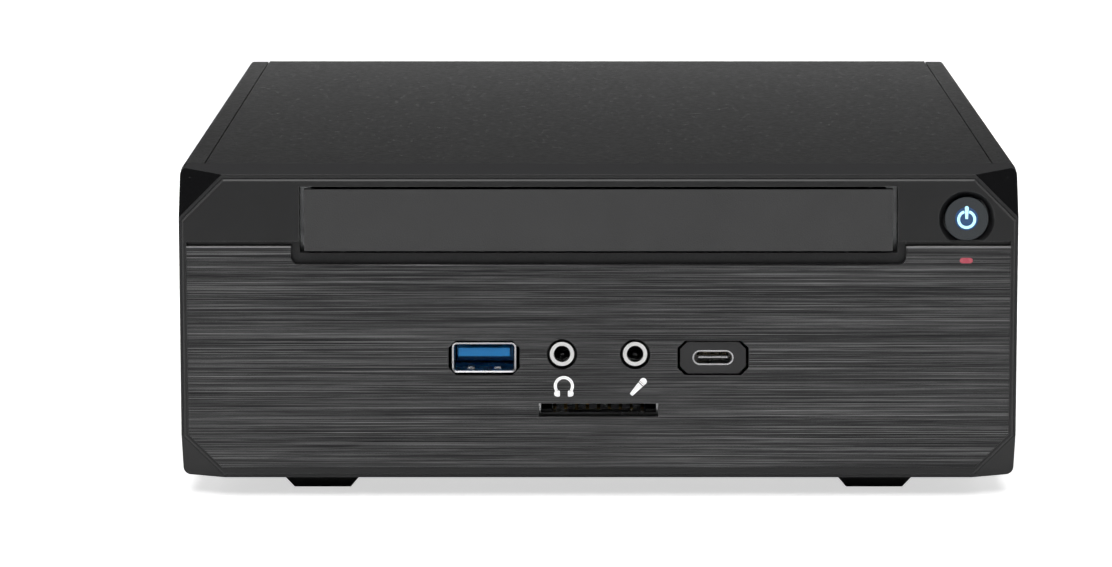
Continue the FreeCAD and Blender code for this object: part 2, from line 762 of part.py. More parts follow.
def front_connectors():
    mouth = FRONT + 0.5
    keep(usb_shell(PORT_XS[0], PORT_Z, mouth, -1), "usb_a_shell")
    keep(usb_tongue(PORT_XS[0], PORT_Z, mouth, -1), "usb_a_insert")
    body_front = BEZEL_INNER + 0.2
    rings = []
    bodies = []
    for x in JACK_XS:
        tube = rod(d.jack_ring_radius, "y", (x, mouth, JACK_Z), body_front - mouth)
        rings.append(cut(tube, rod(d.jack_bore, "y", (x, mouth, JACK_Z), body_front - mouth)))
        block = box(about(x, d.jack_body_width), onto(body_front, d.jack_depth), (IO_TOP, JACK_Z + 3.5))
        bodies.append(cut(block, rod(d.jack_bore, "y", (x, body_front, JACK_Z), d.jack_depth - 1.0)))
    keep(group(*rings), "headset_jack_rings")
    keep(group(*bodies), "headset_jack_bodies")

    x = PORT_XS[1]
    half = (d.usb_c_width - d.usb_c_height) / 2
    centres = ((x - half, PORT_Z), (x + half, PORT_Z))
    outer = d.usb_c_height / 2
    inner = outer - d.usb_c_wall
    surround = new_body()
    outline = cut_corners(about(x, d.port_cut_width - 1.2), about(PORT_Z, d.port_cut_height - 0.6),
                          d.port_cut_corner)
    pad(surround, polygon(sketch(surround, "XZ", mouth), outline), BEZEL_INNER - mouth, "XZ")
    foot = rectangle(sketch(surround, "XZ", BEZEL_INNER), about(x, 9.6), (IO_TOP, PORT_Z + 2.2))
    pad(surround, foot, mouth + d.usb_c_depth - BEZEL_INNER, "XZ")
    hole = pill(sketch(surround, "XZ", mouth), *centres, outer)
    pocket(surround, hole, d.usb_c_depth)
    keep(surround, "usb_c_surround")
    shell = new_body()
    pad(shell, pill(sketch(shell, "XZ", mouth), *centres, outer), d.usb_c_depth, "XZ")
    pocket(shell, pill(sketch(shell, "XZ", mouth), *centres, inner), d.usb_c_depth - 1.0)
    keep(shell, "usb_c_shell")
    tongue = box(about(x, 6.69), (mouth + 0.8, mouth + d.usb_c_depth - 1.0), about(PORT_Z, 0.7))
    keep(tongue, "usb_c_tongue")

    reader = box(about(0, d.reader_width + 4.0), onto(body_front, d.reader_depth + 2.0),
                 (READER_Z - 2.6, IO_UNDER))
    slot = box(about(0, d.reader_width - 0.8), onto(body_front, d.reader_depth),
               about(READER_Z, d.reader_slot - 0.3))
    keep(cut(reader, slot), "card_reader")

    holes = []
    for side in (-1, 1):
        at = (side * (d.io_board_width / 2 - d.tab_width / 2), WALL_BACK + 12.0, IO_TOP)
        screws.append(screw("z", -1, at, d.board_thickness + d.sheet + 1.0))
        holes.append(rod(d.screw_radius + d.snug, "z", (at[0], at[1], IO_UNDER), d.board_thickness))
    board = box(about(0, d.io_board_width), onto(WALL_BACK + d.fit_gap, d.io_board_depth),
                (IO_UNDER, IO_TOP))
    keep(cut(board, *holes), "front_io_board")


# ---------------------------------------------------------------- chassis
FOOT_RIVETS = (-66.0, 66.0)


def front_wall():
    body = new_body()
    wall = rectangle(sketch(body, "XZ", BEZEL_BACK), about(0, 2 * WALL_HALF),
                     (FLOOR + d.slide_gap, WALL_TOP))
    pad(body, wall, d.sheet, "XZ")
    foot = rectangle(sketch(body, "XZ", WALL_BACK), about(0, d.case_width - 36.0), onto(FLOOR_TOP, d.sheet))
    pad(body, foot, d.wall_foot, "XZ")
    for side in (-1, 1):
        tab = rectangle(sketch(body, "XZ", WALL_BACK),
                        about(side * (d.io_board_width - d.tab_width) / 2,
                              d.tab_width), upto(IO_UNDER, d.sheet))
        pad(body, tab, 20.0, "XZ")
    half = BAY_HALF - d.bay_cover_side_gap - d.bay_cover_rim + d.fit_gap
    rise = d.bay_cover_top_gap + d.bay_cover_rim / 2 - d.fit_gap
    openings = sketch(body, "XZ", BEZEL_BACK)
    rectangle(openings, about(0, 2 * half), (BAY_BOTTOM + rise, BAY_TOP - rise))
    window = (READER_Z - 3.2, JACK_Z + 4.2)
    rectangle(openings, about(0, 2 * d.port_spacing + d.usb_width + 6.0), window)
    circle(openings, BUTTON_X, BUTTON_Z, d.button_stem_radius + 0.6)
    circle(openings, BUTTON_X, LIGHT_Z, d.light_width / 2 + 0.4)
    for x in tongue_centres():
        rectangle(openings, about(x, d.tongue_width + 2.0),
                  about(tongue_level() + d.sheet / 2, d.sheet + 0.4))
    for x, z in BOSSES:
        circle(openings, x, z, d.screw_radius + d.fit_gap)
    pocket(body, openings, d.sheet)
    tools = [rod(d.screw_radius + d.snug, "z",
                 (side * (d.io_board_width - d.tab_width) / 2, WALL_BACK + 12.0,
                  IO_UNDER - d.sheet), d.sheet)
             for side in (-1, 1)]
    tools += [rod(d.rivet_radius + d.snug, "z", (x, WALL_BACK + d.wall_foot / 2, FLOOR_TOP), d.sheet)
              for x in FOOT_RIVETS]
    return keep(cut(body, *tools), "front_wall")


def base_pan():
    body = new_body()
    inner = WALL_HALF - d.sheet
    high = FLOOR_TOP + d.pan_flange
    section = [(-WALL_HALF, FLOOR), (WALL_HALF, FLOOR), (WALL_HALF, high), (inner, high),
               (inner, FLOOR_TOP), (-inner, FLOOR_TOP), (-inner, high), (-WALL_HALF, high)]
    pad(body, polygon(sketch(body, "XZ", WALL_BACK), section), REAR_INNER - WALL_BACK, "XZ")
    first = COOLER_Y - d.slot_pitch * 6
    vent = pill(sketch(body, "XY", FLOOR_TOP), (-25.0, first), (25.0, first), d.slot_width / 2)
    repeat(body, pocket(body, vent, d.sheet), "Y_Axis", d.slot_pitch * 12, 13)
    holes = sketch(body, "XY", FLOOR_TOP)
    for x, y in case_screw_places():
        circle(holes, x, y, d.screw_radius + d.snug)
    for y in (WALL_BACK + d.wall_foot / 2, REAR_INNER - d.wall_foot / 2):
        for x in FOOT_RIVETS:
            circle(holes, x, y, d.rivet_radius + d.snug)
    pocket(body, holes, d.sheet)
    return keep(body, "base_pan")


def case_screw_places():
    x = SIDE_OUT - d.side_flange / 2 - 0.6
    return [(side * x, y) for side in (-1, 1) for y in (FRONT + 22.0, as_size(0), BACK - 12.0)]


def rear_panel():
    body = new_body()
    pad(body, rectangle(sketch(body, "XZ", REAR_INNER), about(0, 2 * WALL_HALF),
                        (FLOOR + d.slide_gap, WALL_TOP)), d.sheet, "XZ")
    foot = rectangle(sketch(body, "XZ", REAR_INNER - d.wall_foot), about(0, d.case_width - 36.0),
                     onto(FLOOR_TOP, d.sheet))
    pad(body, foot, d.wall_foot, "XZ")
    holes = sketch(body, "XZ", REAR_INNER)
    rectangle(holes, about(0, d.shield_width), onto(BOARD_TOP - d.shield_under_board, d.shield_height))
    circle(holes, INLET_X, INLET_Z, d.inlet_nose + d.fit_gap)
    lock = HALF - d.inlet_inset
    pill(holes, (lock - 2.0, INLET_Z), (lock + 2.0, INLET_Z), 1.5)
    pocket(body, holes, d.sheet)
    vent = pill(sketch(body, "XZ", REAR_INNER), (-40.0, TOP - 13.6), (-40.0, TOP - 9.4), 1.1)
    repeat(body, pocket(body, vent, d.sheet), "X_Axis", 80.0, 21)
    bushes = [rod(3.6, "y", (side * d.thumb_spacing / 2, REAR_INNER - 2.0, THUMB_Z), 2.0)
              for side in (-1, 1)]
    bores = [rod(d.thumb_shank + d.snug, "y", (side * d.thumb_spacing / 2, REAR_INNER - 2.0, THUMB_Z),
                 2.0 + d.sheet) for side in (-1, 1)]
    rivets = [rod(d.rivet_radius + d.snug, "z", (x, REAR_INNER - d.wall_foot / 2, FLOOR_TOP), d.sheet)
              for x in FOOT_RIVETS]
    return keep(cut(fuse(body, *bushes), *bores, *rivets), "rear_panel")


def side_panel(side, label):
    out, s = SIDE_OUT, d.sheet
    lip, ledge = out - d.side_lip, out - d.side_lip - d.side_ledge
    section = [
        (out - d.side_flange, CHASSIS), (out, CHASSIS), (out, TOP), (lip, TOP),
        (lip, LEDGE_TOP), (ledge, LEDGE_TOP), (ledge, LEDGE_UNDER), (lip + s, LEDGE_UNDER),
        (lip + s, TOP - s), (out - s, TOP - s), (out - s, CHASSIS + s),
        (out - d.side_flange, CHASSIS + s),
    ]
    body = new_body()
    start = BEZEL_BACK + d.slide_gap
    pad(body, polygon(sketch(body, "XZ", start), [(side * u, v) for u, v in section]), BACK - start, "XZ")
    soften(body, "Fillet", "Radius", d.side_round,
           lambda e: runs_along(e, 1) and near(abs(ends_of(e)[0].x), out)
           and (near(ends_of(e)[0].z, TOP) or near(ends_of(e)[0].z, CHASSIS)))
    middle = (BASE + TOP) / 2
    first = COOLER_Y - d.slot_pitch * (d.slot_count - 1) / 2 - 12.0
    at = out if side > 0 else -out + s
    slot = pill(sketch(body, "YZ", at), (first, middle - d.slot_length / 2),
                (first, middle + d.slot_length / 2), d.slot_width / 2)
    repeat(body, pocket(body, slot, s), "Y_Axis", d.slot_pitch * (d.slot_count - 1), d.slot_count)
    for places, level in ((case_screw_places(), CHASSIS + s), (cage_hanger_places(), LEDGE_TOP)):
        holes = sketch(body, "XY", level)
        for x, y in places:
            if x.value * side > 0:
                circle(holes, x, y, d.screw_radius + d.fit_gap)
        pocket(body, holes, s)
    return keep(body, label)


def tongue_centres():
    return [step * d.tongue_spacing for step in (-1, 0, 1)]


def tongue_level():
    """The underside of the cover's front tongues."""
    return TOP - d.sheet - d.tongue_drop - d.sheet


def top_cover():
    half = SIDE_OUT - d.side_lip - d.cover_gap
    start = BEZEL_BACK + d.slide_gap
    flange = onto(BACK + d.slide_gap, d.sheet)
    plate = box(about(0, 2 * half), (start, flange[1]), upto(TOP, d.sheet))
    hem = box(about(0, 2 * half), flange, upto(TOP, d.cover_flange))
    pieces = [plate, hem]
    for side in (-1, 1):
        pieces.append(box(about(side * d.thumb_spacing / 2, d.ear_width), flange, upto(TOP, d.ear_height)))
    for x in tongue_centres():
        leg = onto(WALL_BACK + 0.4, d.sheet)
        pieces.append(box(about(x, d.tongue_width), leg, (tongue_level(), TOP - d.sheet)))
        pieces.append(box(about(x, d.tongue_width), (WALL_BACK - d.tongue_reach, leg[0]),
                          onto(tongue_level(), d.sheet)))
    bores = [rod(d.thumb_shank + d.fit_gap, "y", (side * d.thumb_spacing / 2, flange[0], THUMB_Z), d.sheet)
             for side in (-1, 1)]
    return keep(cut(fuse(*pieces), *bores), "top_cover")


def thumbscrew(side, label):
    x = side * d.thumb_spacing / 2
    seat = BACK + d.slide_gap + d.sheet
    head = rod(d.thumb_radius, "y", (x, seat, THUMB_Z), d.thumb_head)
    grooves = []
    for turn in range(12):
        angle = turn * math.pi / 6
        at = (x + d.thumb_radius * math.cos(angle), seat + 1.2, THUMB_Z + d.thumb_radius * math.sin(angle))
        grooves.append(rod(0.5, "y", at, d.thumb_head))
    slot = box(about(x, 2 * d.thumb_radius), upto(seat + d.thumb_head, 1.4), about(THUMB_Z, 1.2))
    shank = rod(d.thumb_shank, "y", (x, seat - d.thumb_length, THUMB_Z), d.thumb_length)
    return keep(fuse(cut(head, slot, *grooves), shank), label)


def fasteners():
    screws.extend(screw("z", 1, (x, y, CHASSIS), 3.6) for x, y in case_screw_places())
    screws.extend(screw("y", -1, (x, WALL_BACK, z), 4.0) for x, z in BOSSES)
    rivets = []
    for y in (WALL_BACK + d.wall_foot / 2, REAR_INNER - d.wall_foot / 2):
        for x in FOOT_RIVETS:
            stem = rod(d.rivet_radius, "z", (x, y, FLOOR), 2 * d.sheet)
            rivets.append(fuse(stem, rod(2.6, "z", (x, y, FLOOR_TOP + d.sheet), 0.9)))
    keep(group(*rivets), "chassis_rivets")


def rubber_feet():
    feet = []
    for side in (-1, 1):
        for y in (BEZEL_FRONT + d.foot_front + d.foot_top / 2, BACK - 8.0 - d.foot_top / 2):
            x = side * d.foot_spacing / 2
            taper = doc.addObject("Part::Wedge", unique("Wedge"))
            half, low = d.foot_top / 2, d.foot_bottom / 2
            sides = {"Xmin": -low, "Xmax": low, "Zmin": -low, "Zmax": low, "Ymin": 0, "Ymax": d.foot_height,
                     "X2min": -half, "X2max": half, "Z2min": -half, "Z2max": half}
            for prop, size in sides.items():
                bind(taper, prop, size)
            taper.Placement = Placement(Vector(), Rotation(Vector(1, 0, 0), 90))
            place(taper, x, y, 0)
            cap = box(about(x, d.foot_top), about(y, d.foot_top), (d.foot_height, FLOOR))
            feet.append(fuse(taper, cap))
    return keep(group(*feet), "rubber_feet")


# ---------------------------------------------------------------- main board
def board_holes():
    x = -d.board_side / 2 + d.board_hole_side
    y = BOARD_BACK - d.board_hole_rear
    return [(x + i * d.board_hole_span_x, y - j * d.board_hole_span_y) for i in (0, 1) for j in (0, 1)]


def main_board():
    board = box(about(0, d.board_side), (BOARD_FRONT, BOARD_BACK), (BOARD_UNDER, BOARD_TOP))
    holes = [rod(d.screw_radius + d.snug, "z", (x, y, BOARD_UNDER), d.board_thickness)
             for x, y in board_holes()]
    keep(cut(board, *holes), "motherboard")
    posts = [rod(d.standoff_radius, "z", (x, y, FLOOR_TOP), d.standoff_height) for x, y in board_holes()]
    bores = [rod(d.screw_radius + d.snug, "z", (x, y, FLOOR_TOP + 1.0), d.standoff_height)
             for x, y in board_holes()]
    keep(group(*[cut(post, bore) for post, bore in zip(posts, bores)]), "board_standoffs")
    screws.extend(screw("z", -1, (x, y, BOARD_TOP), 6.0) for x, y in board_holes())


def processor_and_cooler():
    socket = box(about(0, 46.0), about(COOLER_Y, 50.0), onto(BOARD_TOP, 4.4))
    well = box(about(0, 37.7), about(COOLER_Y, 37.7), onto(BOARD_TOP + 2.4, 2.0))
    keep(cut(socket, well), "cpu_socket")
    carrier = box(about(0, 37.5), about(COOLER_Y, 37.5), onto(BOARD_TOP + 2.4, 1.2))
    keep(fuse(carrier, box(about(0, 31.0), about(COOLER_Y, 31.0), (BOARD_TOP + 3.6, COOLER_Z))),
         "processor")

    body = new_body()
    span = about(0, d.cooler_side)
    pad(body, rectangle(sketch(body, "XY", COOLER_Z), span, about(COOLER_Y, d.cooler_side)), d.cooler_base,
        "XY")
    count = int(d.cooler_side.value // d.cooler_fin_pitch.value)
    reach = d.cooler_fin_pitch * (count - 1)
    fin = rectangle(sketch(body, "XY", COOLER_Z + d.cooler_base), about(-reach / 2, d.cooler_fin),
                    about(COOLER_Y, d.cooler_side))
    repeat(body, pad(body, fin, d.cooler_fin_height, "XY"), "X_Axis", reach, count)
    pin_spot = d.cooler_side / 2 - 3.0
    spots = [(i * pin_spot, COOLER_Y + j * pin_spot) for i in (-1, 1) for j in (-1, 1)]
    pins = [rod(2.0, "z", (x, y, BOARD_TOP), d.cpu_height) for x, y in spots]
    keep(body, "cpu_heatsink")
    keep(group(*pins), "cooler_posts")


def fan():
    centre = (as_size(0), COOLER_Y)
    block = box(about(0, d.cooler_side), about(COOLER_Y, d.cooler_side), onto(FAN_Z, d.fan_height))
    throat = rod(FAN_THROAT, "z", (*centre, FAN_Z), d.fan_height)
    reach = d.cooler_side / 2 - d.fan_screw_inset
    corners = [rod(1.8, "z", (i * reach, COOLER_Y + j * reach, FAN_Z), d.fan_height)
               for i in (-1, 1) for j in (-1, 1)]
    ring = cut(block, throat, *corners)
    across = 2 * FAN_THROAT + 1.0
    struts = [box(about(0, across), about(COOLER_Y, 2.6), onto(FAN_Z, d.fan_floor)),
              box(about(0, 2.6), about(COOLER_Y, across), onto(FAN_Z, d.fan_floor))]
    hub = rod(d.fan_hub, "z", (*centre, FAN_Z), d.fan_floor)
    post = rod(d.fan_shaft + 2.2, "z", (*centre, FAN_Z), d.fan_height - 4.0)
    bearing = rod(d.fan_shaft + d.snug, "z", (*centre, FAN_Z + 0.6), d.fan_height)
    keep(cut(fuse(ring, *struts, hub, post), bearing), "cpu_fan_frame")

    low = FAN_Z + d.fan_floor + 0.6
    rise = FAN_Z + d.fan_height - 0.5 - low
    cup = rod(d.fan_hub, "z", (*centre, low), rise)
    inside = rod(d.fan_hub - 1.4, "z", (*centre, low), rise - 1.6)
    shaft = rod(d.fan_shaft, "z", (*centre, FAN_Z + 0.8), low + rise - FAN_Z - 0.8)
    blades = doc.addObject("Part::Feature", unique("Blades"))
    tip, root = (FAN_THROAT - d.fan_tip_gap).value, d.fan_hub.value - 0.7
    chord = rise.value / math.sin(math.radians(d.blade_pitch.value)) * 1.2
    middle = Vector(0, COOLER_Y.value, (low + rise / 2).value)
    blade = Part.makeBox(tip - root + 4.0, chord, 1.1, Vector(root - 2.0, -chord / 2, -0.55))
    blade.rotate(Vector(), Vector(1, 0, 0), d.blade_pitch.value)
    count = int(d.blade_count.value)
    turned = []
    for step in range(count):
        copy = blade.copy()
        copy.rotate(Vector(), Vector(0, 0, 1), step * 360.0 / count)
        copy.translate(middle)
        turned.append(copy)
    foot = Vector(0, COOLER_Y.value, low.value + 0.3)
    sweep = Part.makeCylinder(tip, rise.value - 0.6,
                              foot).cut(Part.makeCylinder(root, rise.value - 0.6, foot))
    blades.Shape = sweep.common(Part.makeCompound(turned))
    keep(fuse(cut(cup, inside), shaft, blades), "cpu_fan_rotor")


def memory():
    slots = []
    modules = []
    for step in (0, 1):
        y = BOARD_FRONT + d.module_front + step * d.module_pitch
        slot = box(about(0, d.module_length + 8.0), about(y, 6.4), onto(BOARD_TOP, 7.0))
        channel = box(about(0, d.module_length + 0.4), about(y, d.module_thickness + 0.1),
                      onto(BOARD_TOP + 1.5, 6.0))
        slots.append(cut(slot, channel))
        module = box(about(0, d.module_length), about(y, d.module_thickness),
                     onto(BOARD_TOP + 1.5, d.module_height))
        chips = [box(about(spot, 9.0), onto(y + d.module_thickness / 2, 1.0), about(BOARD_TOP + 20.0, 11.0))
                 for spot in (-56.0, -40.0, -24.0, -8.0, 8.0, 24.0, 40.0, 56.0)]
        modules.append(fuse(module, *chips))
    keep(group(*slots), "memory_slots")
    keep(group(*modules), "memory_modules")


def finned_block(x, y, base, height, fin, pitch, count):
    """A heatsink whose fins run along Y."""
    foot = box(x, y, onto(BOARD_TOP, base))
    fins = [box(onto(x[0] + step * pitch, fin), y, onto(BOARD_TOP + base, height)) for step in range(count)]
    return fuse(foot, *fins)


HEADERS = {
    "usb": (as_size(36.0), BOARD_FRONT + 6.0),
    "panel": (as_size(64.0), BOARD_FRONT + 5.0),
    "fan": (as_size(54.0), COOLER_Y - 26.0),
}
SATA_X = as_size(74.0)
SATA_Y = BOARD_FRONT + 40.0


def board_parts():
    keep(finned_block(about(56.0, 25.0), about(BOARD_FRONT + 66.0, 25.0), 2.5, 6.0, 1.0, 4.0, 7),
         "chipset_heatsink")
    keep(finned_block(about(-56.0, 17.0), about(COOLER_Y, 62.0), 6.0, 16.0, 1.4, 3.9, 5),
         "regulator_heatsink")
    cans = [rod(3.1, "z", (-71.0, COOLER_Y - 30.0 + 8.6 * step, BOARD_TOP), 8.0) for step in range(8)]
    cans += [rod(3.1, "z", (70.0, COOLER_Y + 20.0 + 9.0 * step, BOARD_TOP), 9.0) for step in range(3)]
    keep(group(*cans), "capacitors")
    chokes = [box(about(54.0 + 9.0 * i, 7.2), about(COOLER_Y - 8.0 + 9.2 * j, 7.2), onto(BOARD_TOP, 5.0))
              for i in (0, 1) for j in range(2)]
    keep(group(*chokes), "inductors")
    sata = [box(about(SATA_X, 12.0), about(SATA_Y + 10.0 * step, 7.0), onto(BOARD_TOP, 8.4))
            for step in (0, 1)]
    keep(group(*sata), "sata_sockets")
    sizes = {"usb": (22.0, 8.0, 9.0), "panel": (12.6, 5.2, 8.0), "fan": (10.2, 5.6, 7.6)}
    headers = [box(about(HEADERS[name][0], width), about(HEADERS[name][1], depth), onto(BOARD_TOP, height))
               for name, (width, depth, height) in sizes.items()]
    keep(group(*headers), "pin_headers")


# ---------------------------------------------------------------- rear connectors
USB_STACKS = (-62.0, -44.0)
USB_LEVELS = (4.2, 12.2)
VIDEO_XS = (-23.0, -3.0)
NETWORK_X = 19.0
AUDIO_XS = (42.0, 56.0, 70.0)
MOUTH = BACK + 0.4


def rear_connectors():
    shells = []
    inserts = []
    for x in USB_STACKS:
        for level in USB_LEVELS:
            shells.append(usb_shell(as_size(x), BOARD_TOP + level, MOUTH, 1))
            inserts.append(usb_tongue(as_size(x), BOARD_TOP + level, MOUTH, 1))
    blocks = [box(about(x, d.usb_width), upto(MOUTH - 1.0, 15.0), (BOARD_TOP + low, BOARD_TOP + high))
              for x in USB_STACKS for low, high in ((0, 1.3), (7.1, 9.3))]
    keep(group(*shells), "rear_usb_shells")
    keep(group(*inserts, *blocks), "rear_usb_inserts")

    ports = []
    for x in VIDEO_XS:
        outside = box(about(x, 15.6), upto(MOUTH, 12.0), onto(BOARD_TOP, 7.0))
        hollow = box(about(x, 14.4), upto(MOUTH, 9.0), onto(BOARD_TOP + 1.0, 5.0))
        blade = box(about(x, 12.0), upto(MOUTH - 1.0, 8.5), onto(BOARD_TOP + 3.0, 1.2))
        ports.append(fuse(cut(outside, hollow), blade))
    keep(group(*ports), "display_ports")

    outside = box(about(NETWORK_X, 16.4), upto(MOUTH, 21.0), onto(BOARD_TOP, 13.6))
    hollow = box(about(NETWORK_X, 12.0), upto(MOUTH, 14.0), onto(BOARD_TOP + 3.0, 7.0))
    latch = box(about(NETWORK_X, 6.0), upto(MOUTH, 14.0), onto(BOARD_TOP + 10.0, 1.8))
    keep(cut(outside, hollow, latch), "network_jack")

    jacks = []
    for x in AUDIO_XS:
        block = box(about(x, 11.0), upto(BACK - d.sheet, 12.0), onto(BOARD_TOP, 12.0))
        nose = rod(3.2, "y", (x, BACK - d.sheet, BOARD_TOP + 6.0), MOUTH - BACK + d.sheet)
        bore = rod(d.jack_bore, "y", (x, BACK - d.sheet - 11.0, BOARD_TOP + 6.0),
                   MOUTH - BACK + d.sheet + 11.0)
        jacks.append(cut(fuse(block, nose), bore))
    keep(group(*jacks), "rear_audio_jacks")
    io_shield()


def io_shield():
    low = BOARD_TOP - d.shield_under_board + d.slide_gap
    layer = (BACK - 0.8, BACK - 0.2)
    plate = box(about(0, d.shield_width - 2 * d.slide_gap), layer,
                onto(low, d.shield_height - 2 * d.slide_gap))
    spare = d.fit_gap
    tools = [box(about(x, d.usb_width + 2 * d.usb_lip + 2 * spare), layer,
                 (BOARD_TOP - spare, BOARD_TOP + 16.2)) for x in USB_STACKS]
    tools += [box(about(x, 15.6 + 2 * spare), layer, (BOARD_TOP - spare, BOARD_TOP + 7.0 + spare))
              for x in VIDEO_XS]
    tools.append(box(about(NETWORK_X, 16.4 + 2 * spare), layer,
                     (BOARD_TOP - spare, BOARD_TOP + 13.6 + spare)))
    tools += [rod(3.2 + spare, "y", (x, layer[0], BOARD_TOP + 6.0), 0.6) for x in AUDIO_XS]
    vents = [box(about(x, 2.4), layer, onto(BOARD_TOP + 24.0, 12.0)) for x in range(-66, 72, 6)]
    return keep(cut(plate, *tools, *vents), "io_shield")


CONVERTER_X = -d.board_side / 2 + 36.8
CONVERTER_Y = BOARD_FRONT + 8.0


def power_parts():
    block = box(about(INLET_X, 9.0), upto(REAR_INNER, 13.0), about(INLET_Z, 9.0))
    nose = rod(d.inlet_nose, "y", (INLET_X, REAR_INNER, INLET_Z), d.sheet + 0.6)
    bore = rod(d.inlet_bore, "y", (INLET_X, REAR_INNER - 9.0, INLET_Z), 9.0 + d.sheet + 0.6)
    keep(cut(fuse(block, nose), bore), "dc_inlet")
    keep(rod(d.inlet_pin, "y", (INLET_X, REAR_INNER - 9.0, INLET_Z), 9.0), "dc_inlet_pin")

    x, y = CONVERTER_X, CONVERTER_Y
    socket = box(about(x, d.converter_width), about(y, 9.6), onto(BOARD_TOP, 12.8))
    well = box(about(x, d.converter_width - 2.4), about(y, 7.2), onto(BOARD_TOP + 3.0, 9.8))
    keep(cut(socket, well), "board_power_socket")
    plug = box(about(x, d.converter_width - 2.6), about(y, 7.0), onto(BOARD_TOP + 3.0, 14.0))
    card = box(about(x, d.converter_width + 6.0), about(y, d.board_thickness), onto(BOARD_TOP + 17.0, 19.0))
    coils = [box(about(x + spot, 9.0), onto(y + d.board_thickness / 2, 5.0), about(BOARD_TOP + 26.0, 9.0))
             for spot in (-17.0, 0.0, 17.0)]
    keep(fuse(plug, card, *coils), "power_converter")


# ---------------------------------------------------------------- drive
CAGE_FRONT = WALL_BACK + d.slide_gap
DRIVE_FRONT = CAGE_FRONT + d.drive_gap


def drive_screw_places():
    """The drive's four underside holes, to the 2.5 inch drive standard."""
    return [(i * 30.86, DRIVE_FRONT + y) for i in (-1, 1) for y in (9.4, 86.0)]


def cage_hanger_places():
    x = SIDE_OUT - d.side_lip - d.side_ledge / 2
    return [(i * x, CAGE_FRONT + y) for i in (-1, 1) for y in (14.0, 90.0)]


def drive_parts():
    body = new_body()
    half = d.cage_width / 2
    reach = SIDE_OUT - d.side_lip - 1.0
    s = d.sheet
    high = LEDGE_UNDER
    section = [(-half, CAGE_FLOOR), (half, CAGE_FLOOR), (half, high - s), (reach, high - s), (reach, high),
               (half - s, high), (half - s, CAGE_FLOOR + s), (-half + s, CAGE_FLOOR + s), (-half + s, high),
               (-reach, high), (-reach, high - s), (-half, high - s)]
    pad(body, polygon(sketch(body, "XZ", CAGE_FRONT), section), d.cage_depth, "XZ")
    holes = sketch(body, "XY", CAGE_FLOOR + s)
    for x, y in drive_screw_places():
        circle(holes, x, y, d.screw_radius + d.snug)
    pocket(body, holes, s)
    hangers = sketch(body, "XY", high)
    for x, y in cage_hanger_places():
        circle(hangers, x, y, d.screw_radius + d.snug)
    pocket(body, hangers, s)
    keep(body, "drive_cage")

    drive = box(about(0, d.drive_width), onto(DRIVE_FRONT, d.drive_length),
                onto(CAGE_FLOOR + s, d.drive_height))
    holes = [rod(d.screw_radius + d.snug, "z", (x, y, CAGE_FLOOR + s), 3.2)
             for x, y in drive_screw_places()]
    keep(cut(drive, *holes), "solid_state_drive")
    screws.extend(screw("z", 1, (x, y, CAGE_FLOOR), s + 3.0) for x, y in drive_screw_places())
    screws.extend(screw("z", 1, (x, y, high - s), 2 * s) for x, y in cage_hanger_places())


# ---------------------------------------------------------------- leads
def lead(points, radius):
    """A round lead along straight runs joined by tangent arcs, each as large as its two runs allow."""
    at = [Vector(*(as_size(c).value for c in p)) for p in points]
    edges = []
    last = at[0]
    for before, corner, after in zip(at, at[1:], at[2:]):
        back = 0.45 * min((corner - before).Length, (after - corner).Length)
        into = (corner - before).normalize()
        out = (after - corner).normalize()
        bend = back / math.tan(into.getAngle(out) / 2)
        start, end = corner - into * back, corner + out * back
        inward = (out - into).normalize()
        centre = corner + inward * math.hypot(bend, back)
        edges.append(Part.LineSegment(last, start).toShape())
        edges.append(Part.Arc(start, centre - inward * bend, end).toShape())
        last = end
    edges.append(Part.LineSegment(last, at[-1]).toShape())
    path = Part.Wire(edges)
    disc = Part.Face(Part.Wire(Part.makeCircle(radius.value, at[0], at[1] - at[0])))
    made = doc.addObject("Part::Feature", unique("Lead"))
    made.Shape = path.makePipe(disc)
    return made


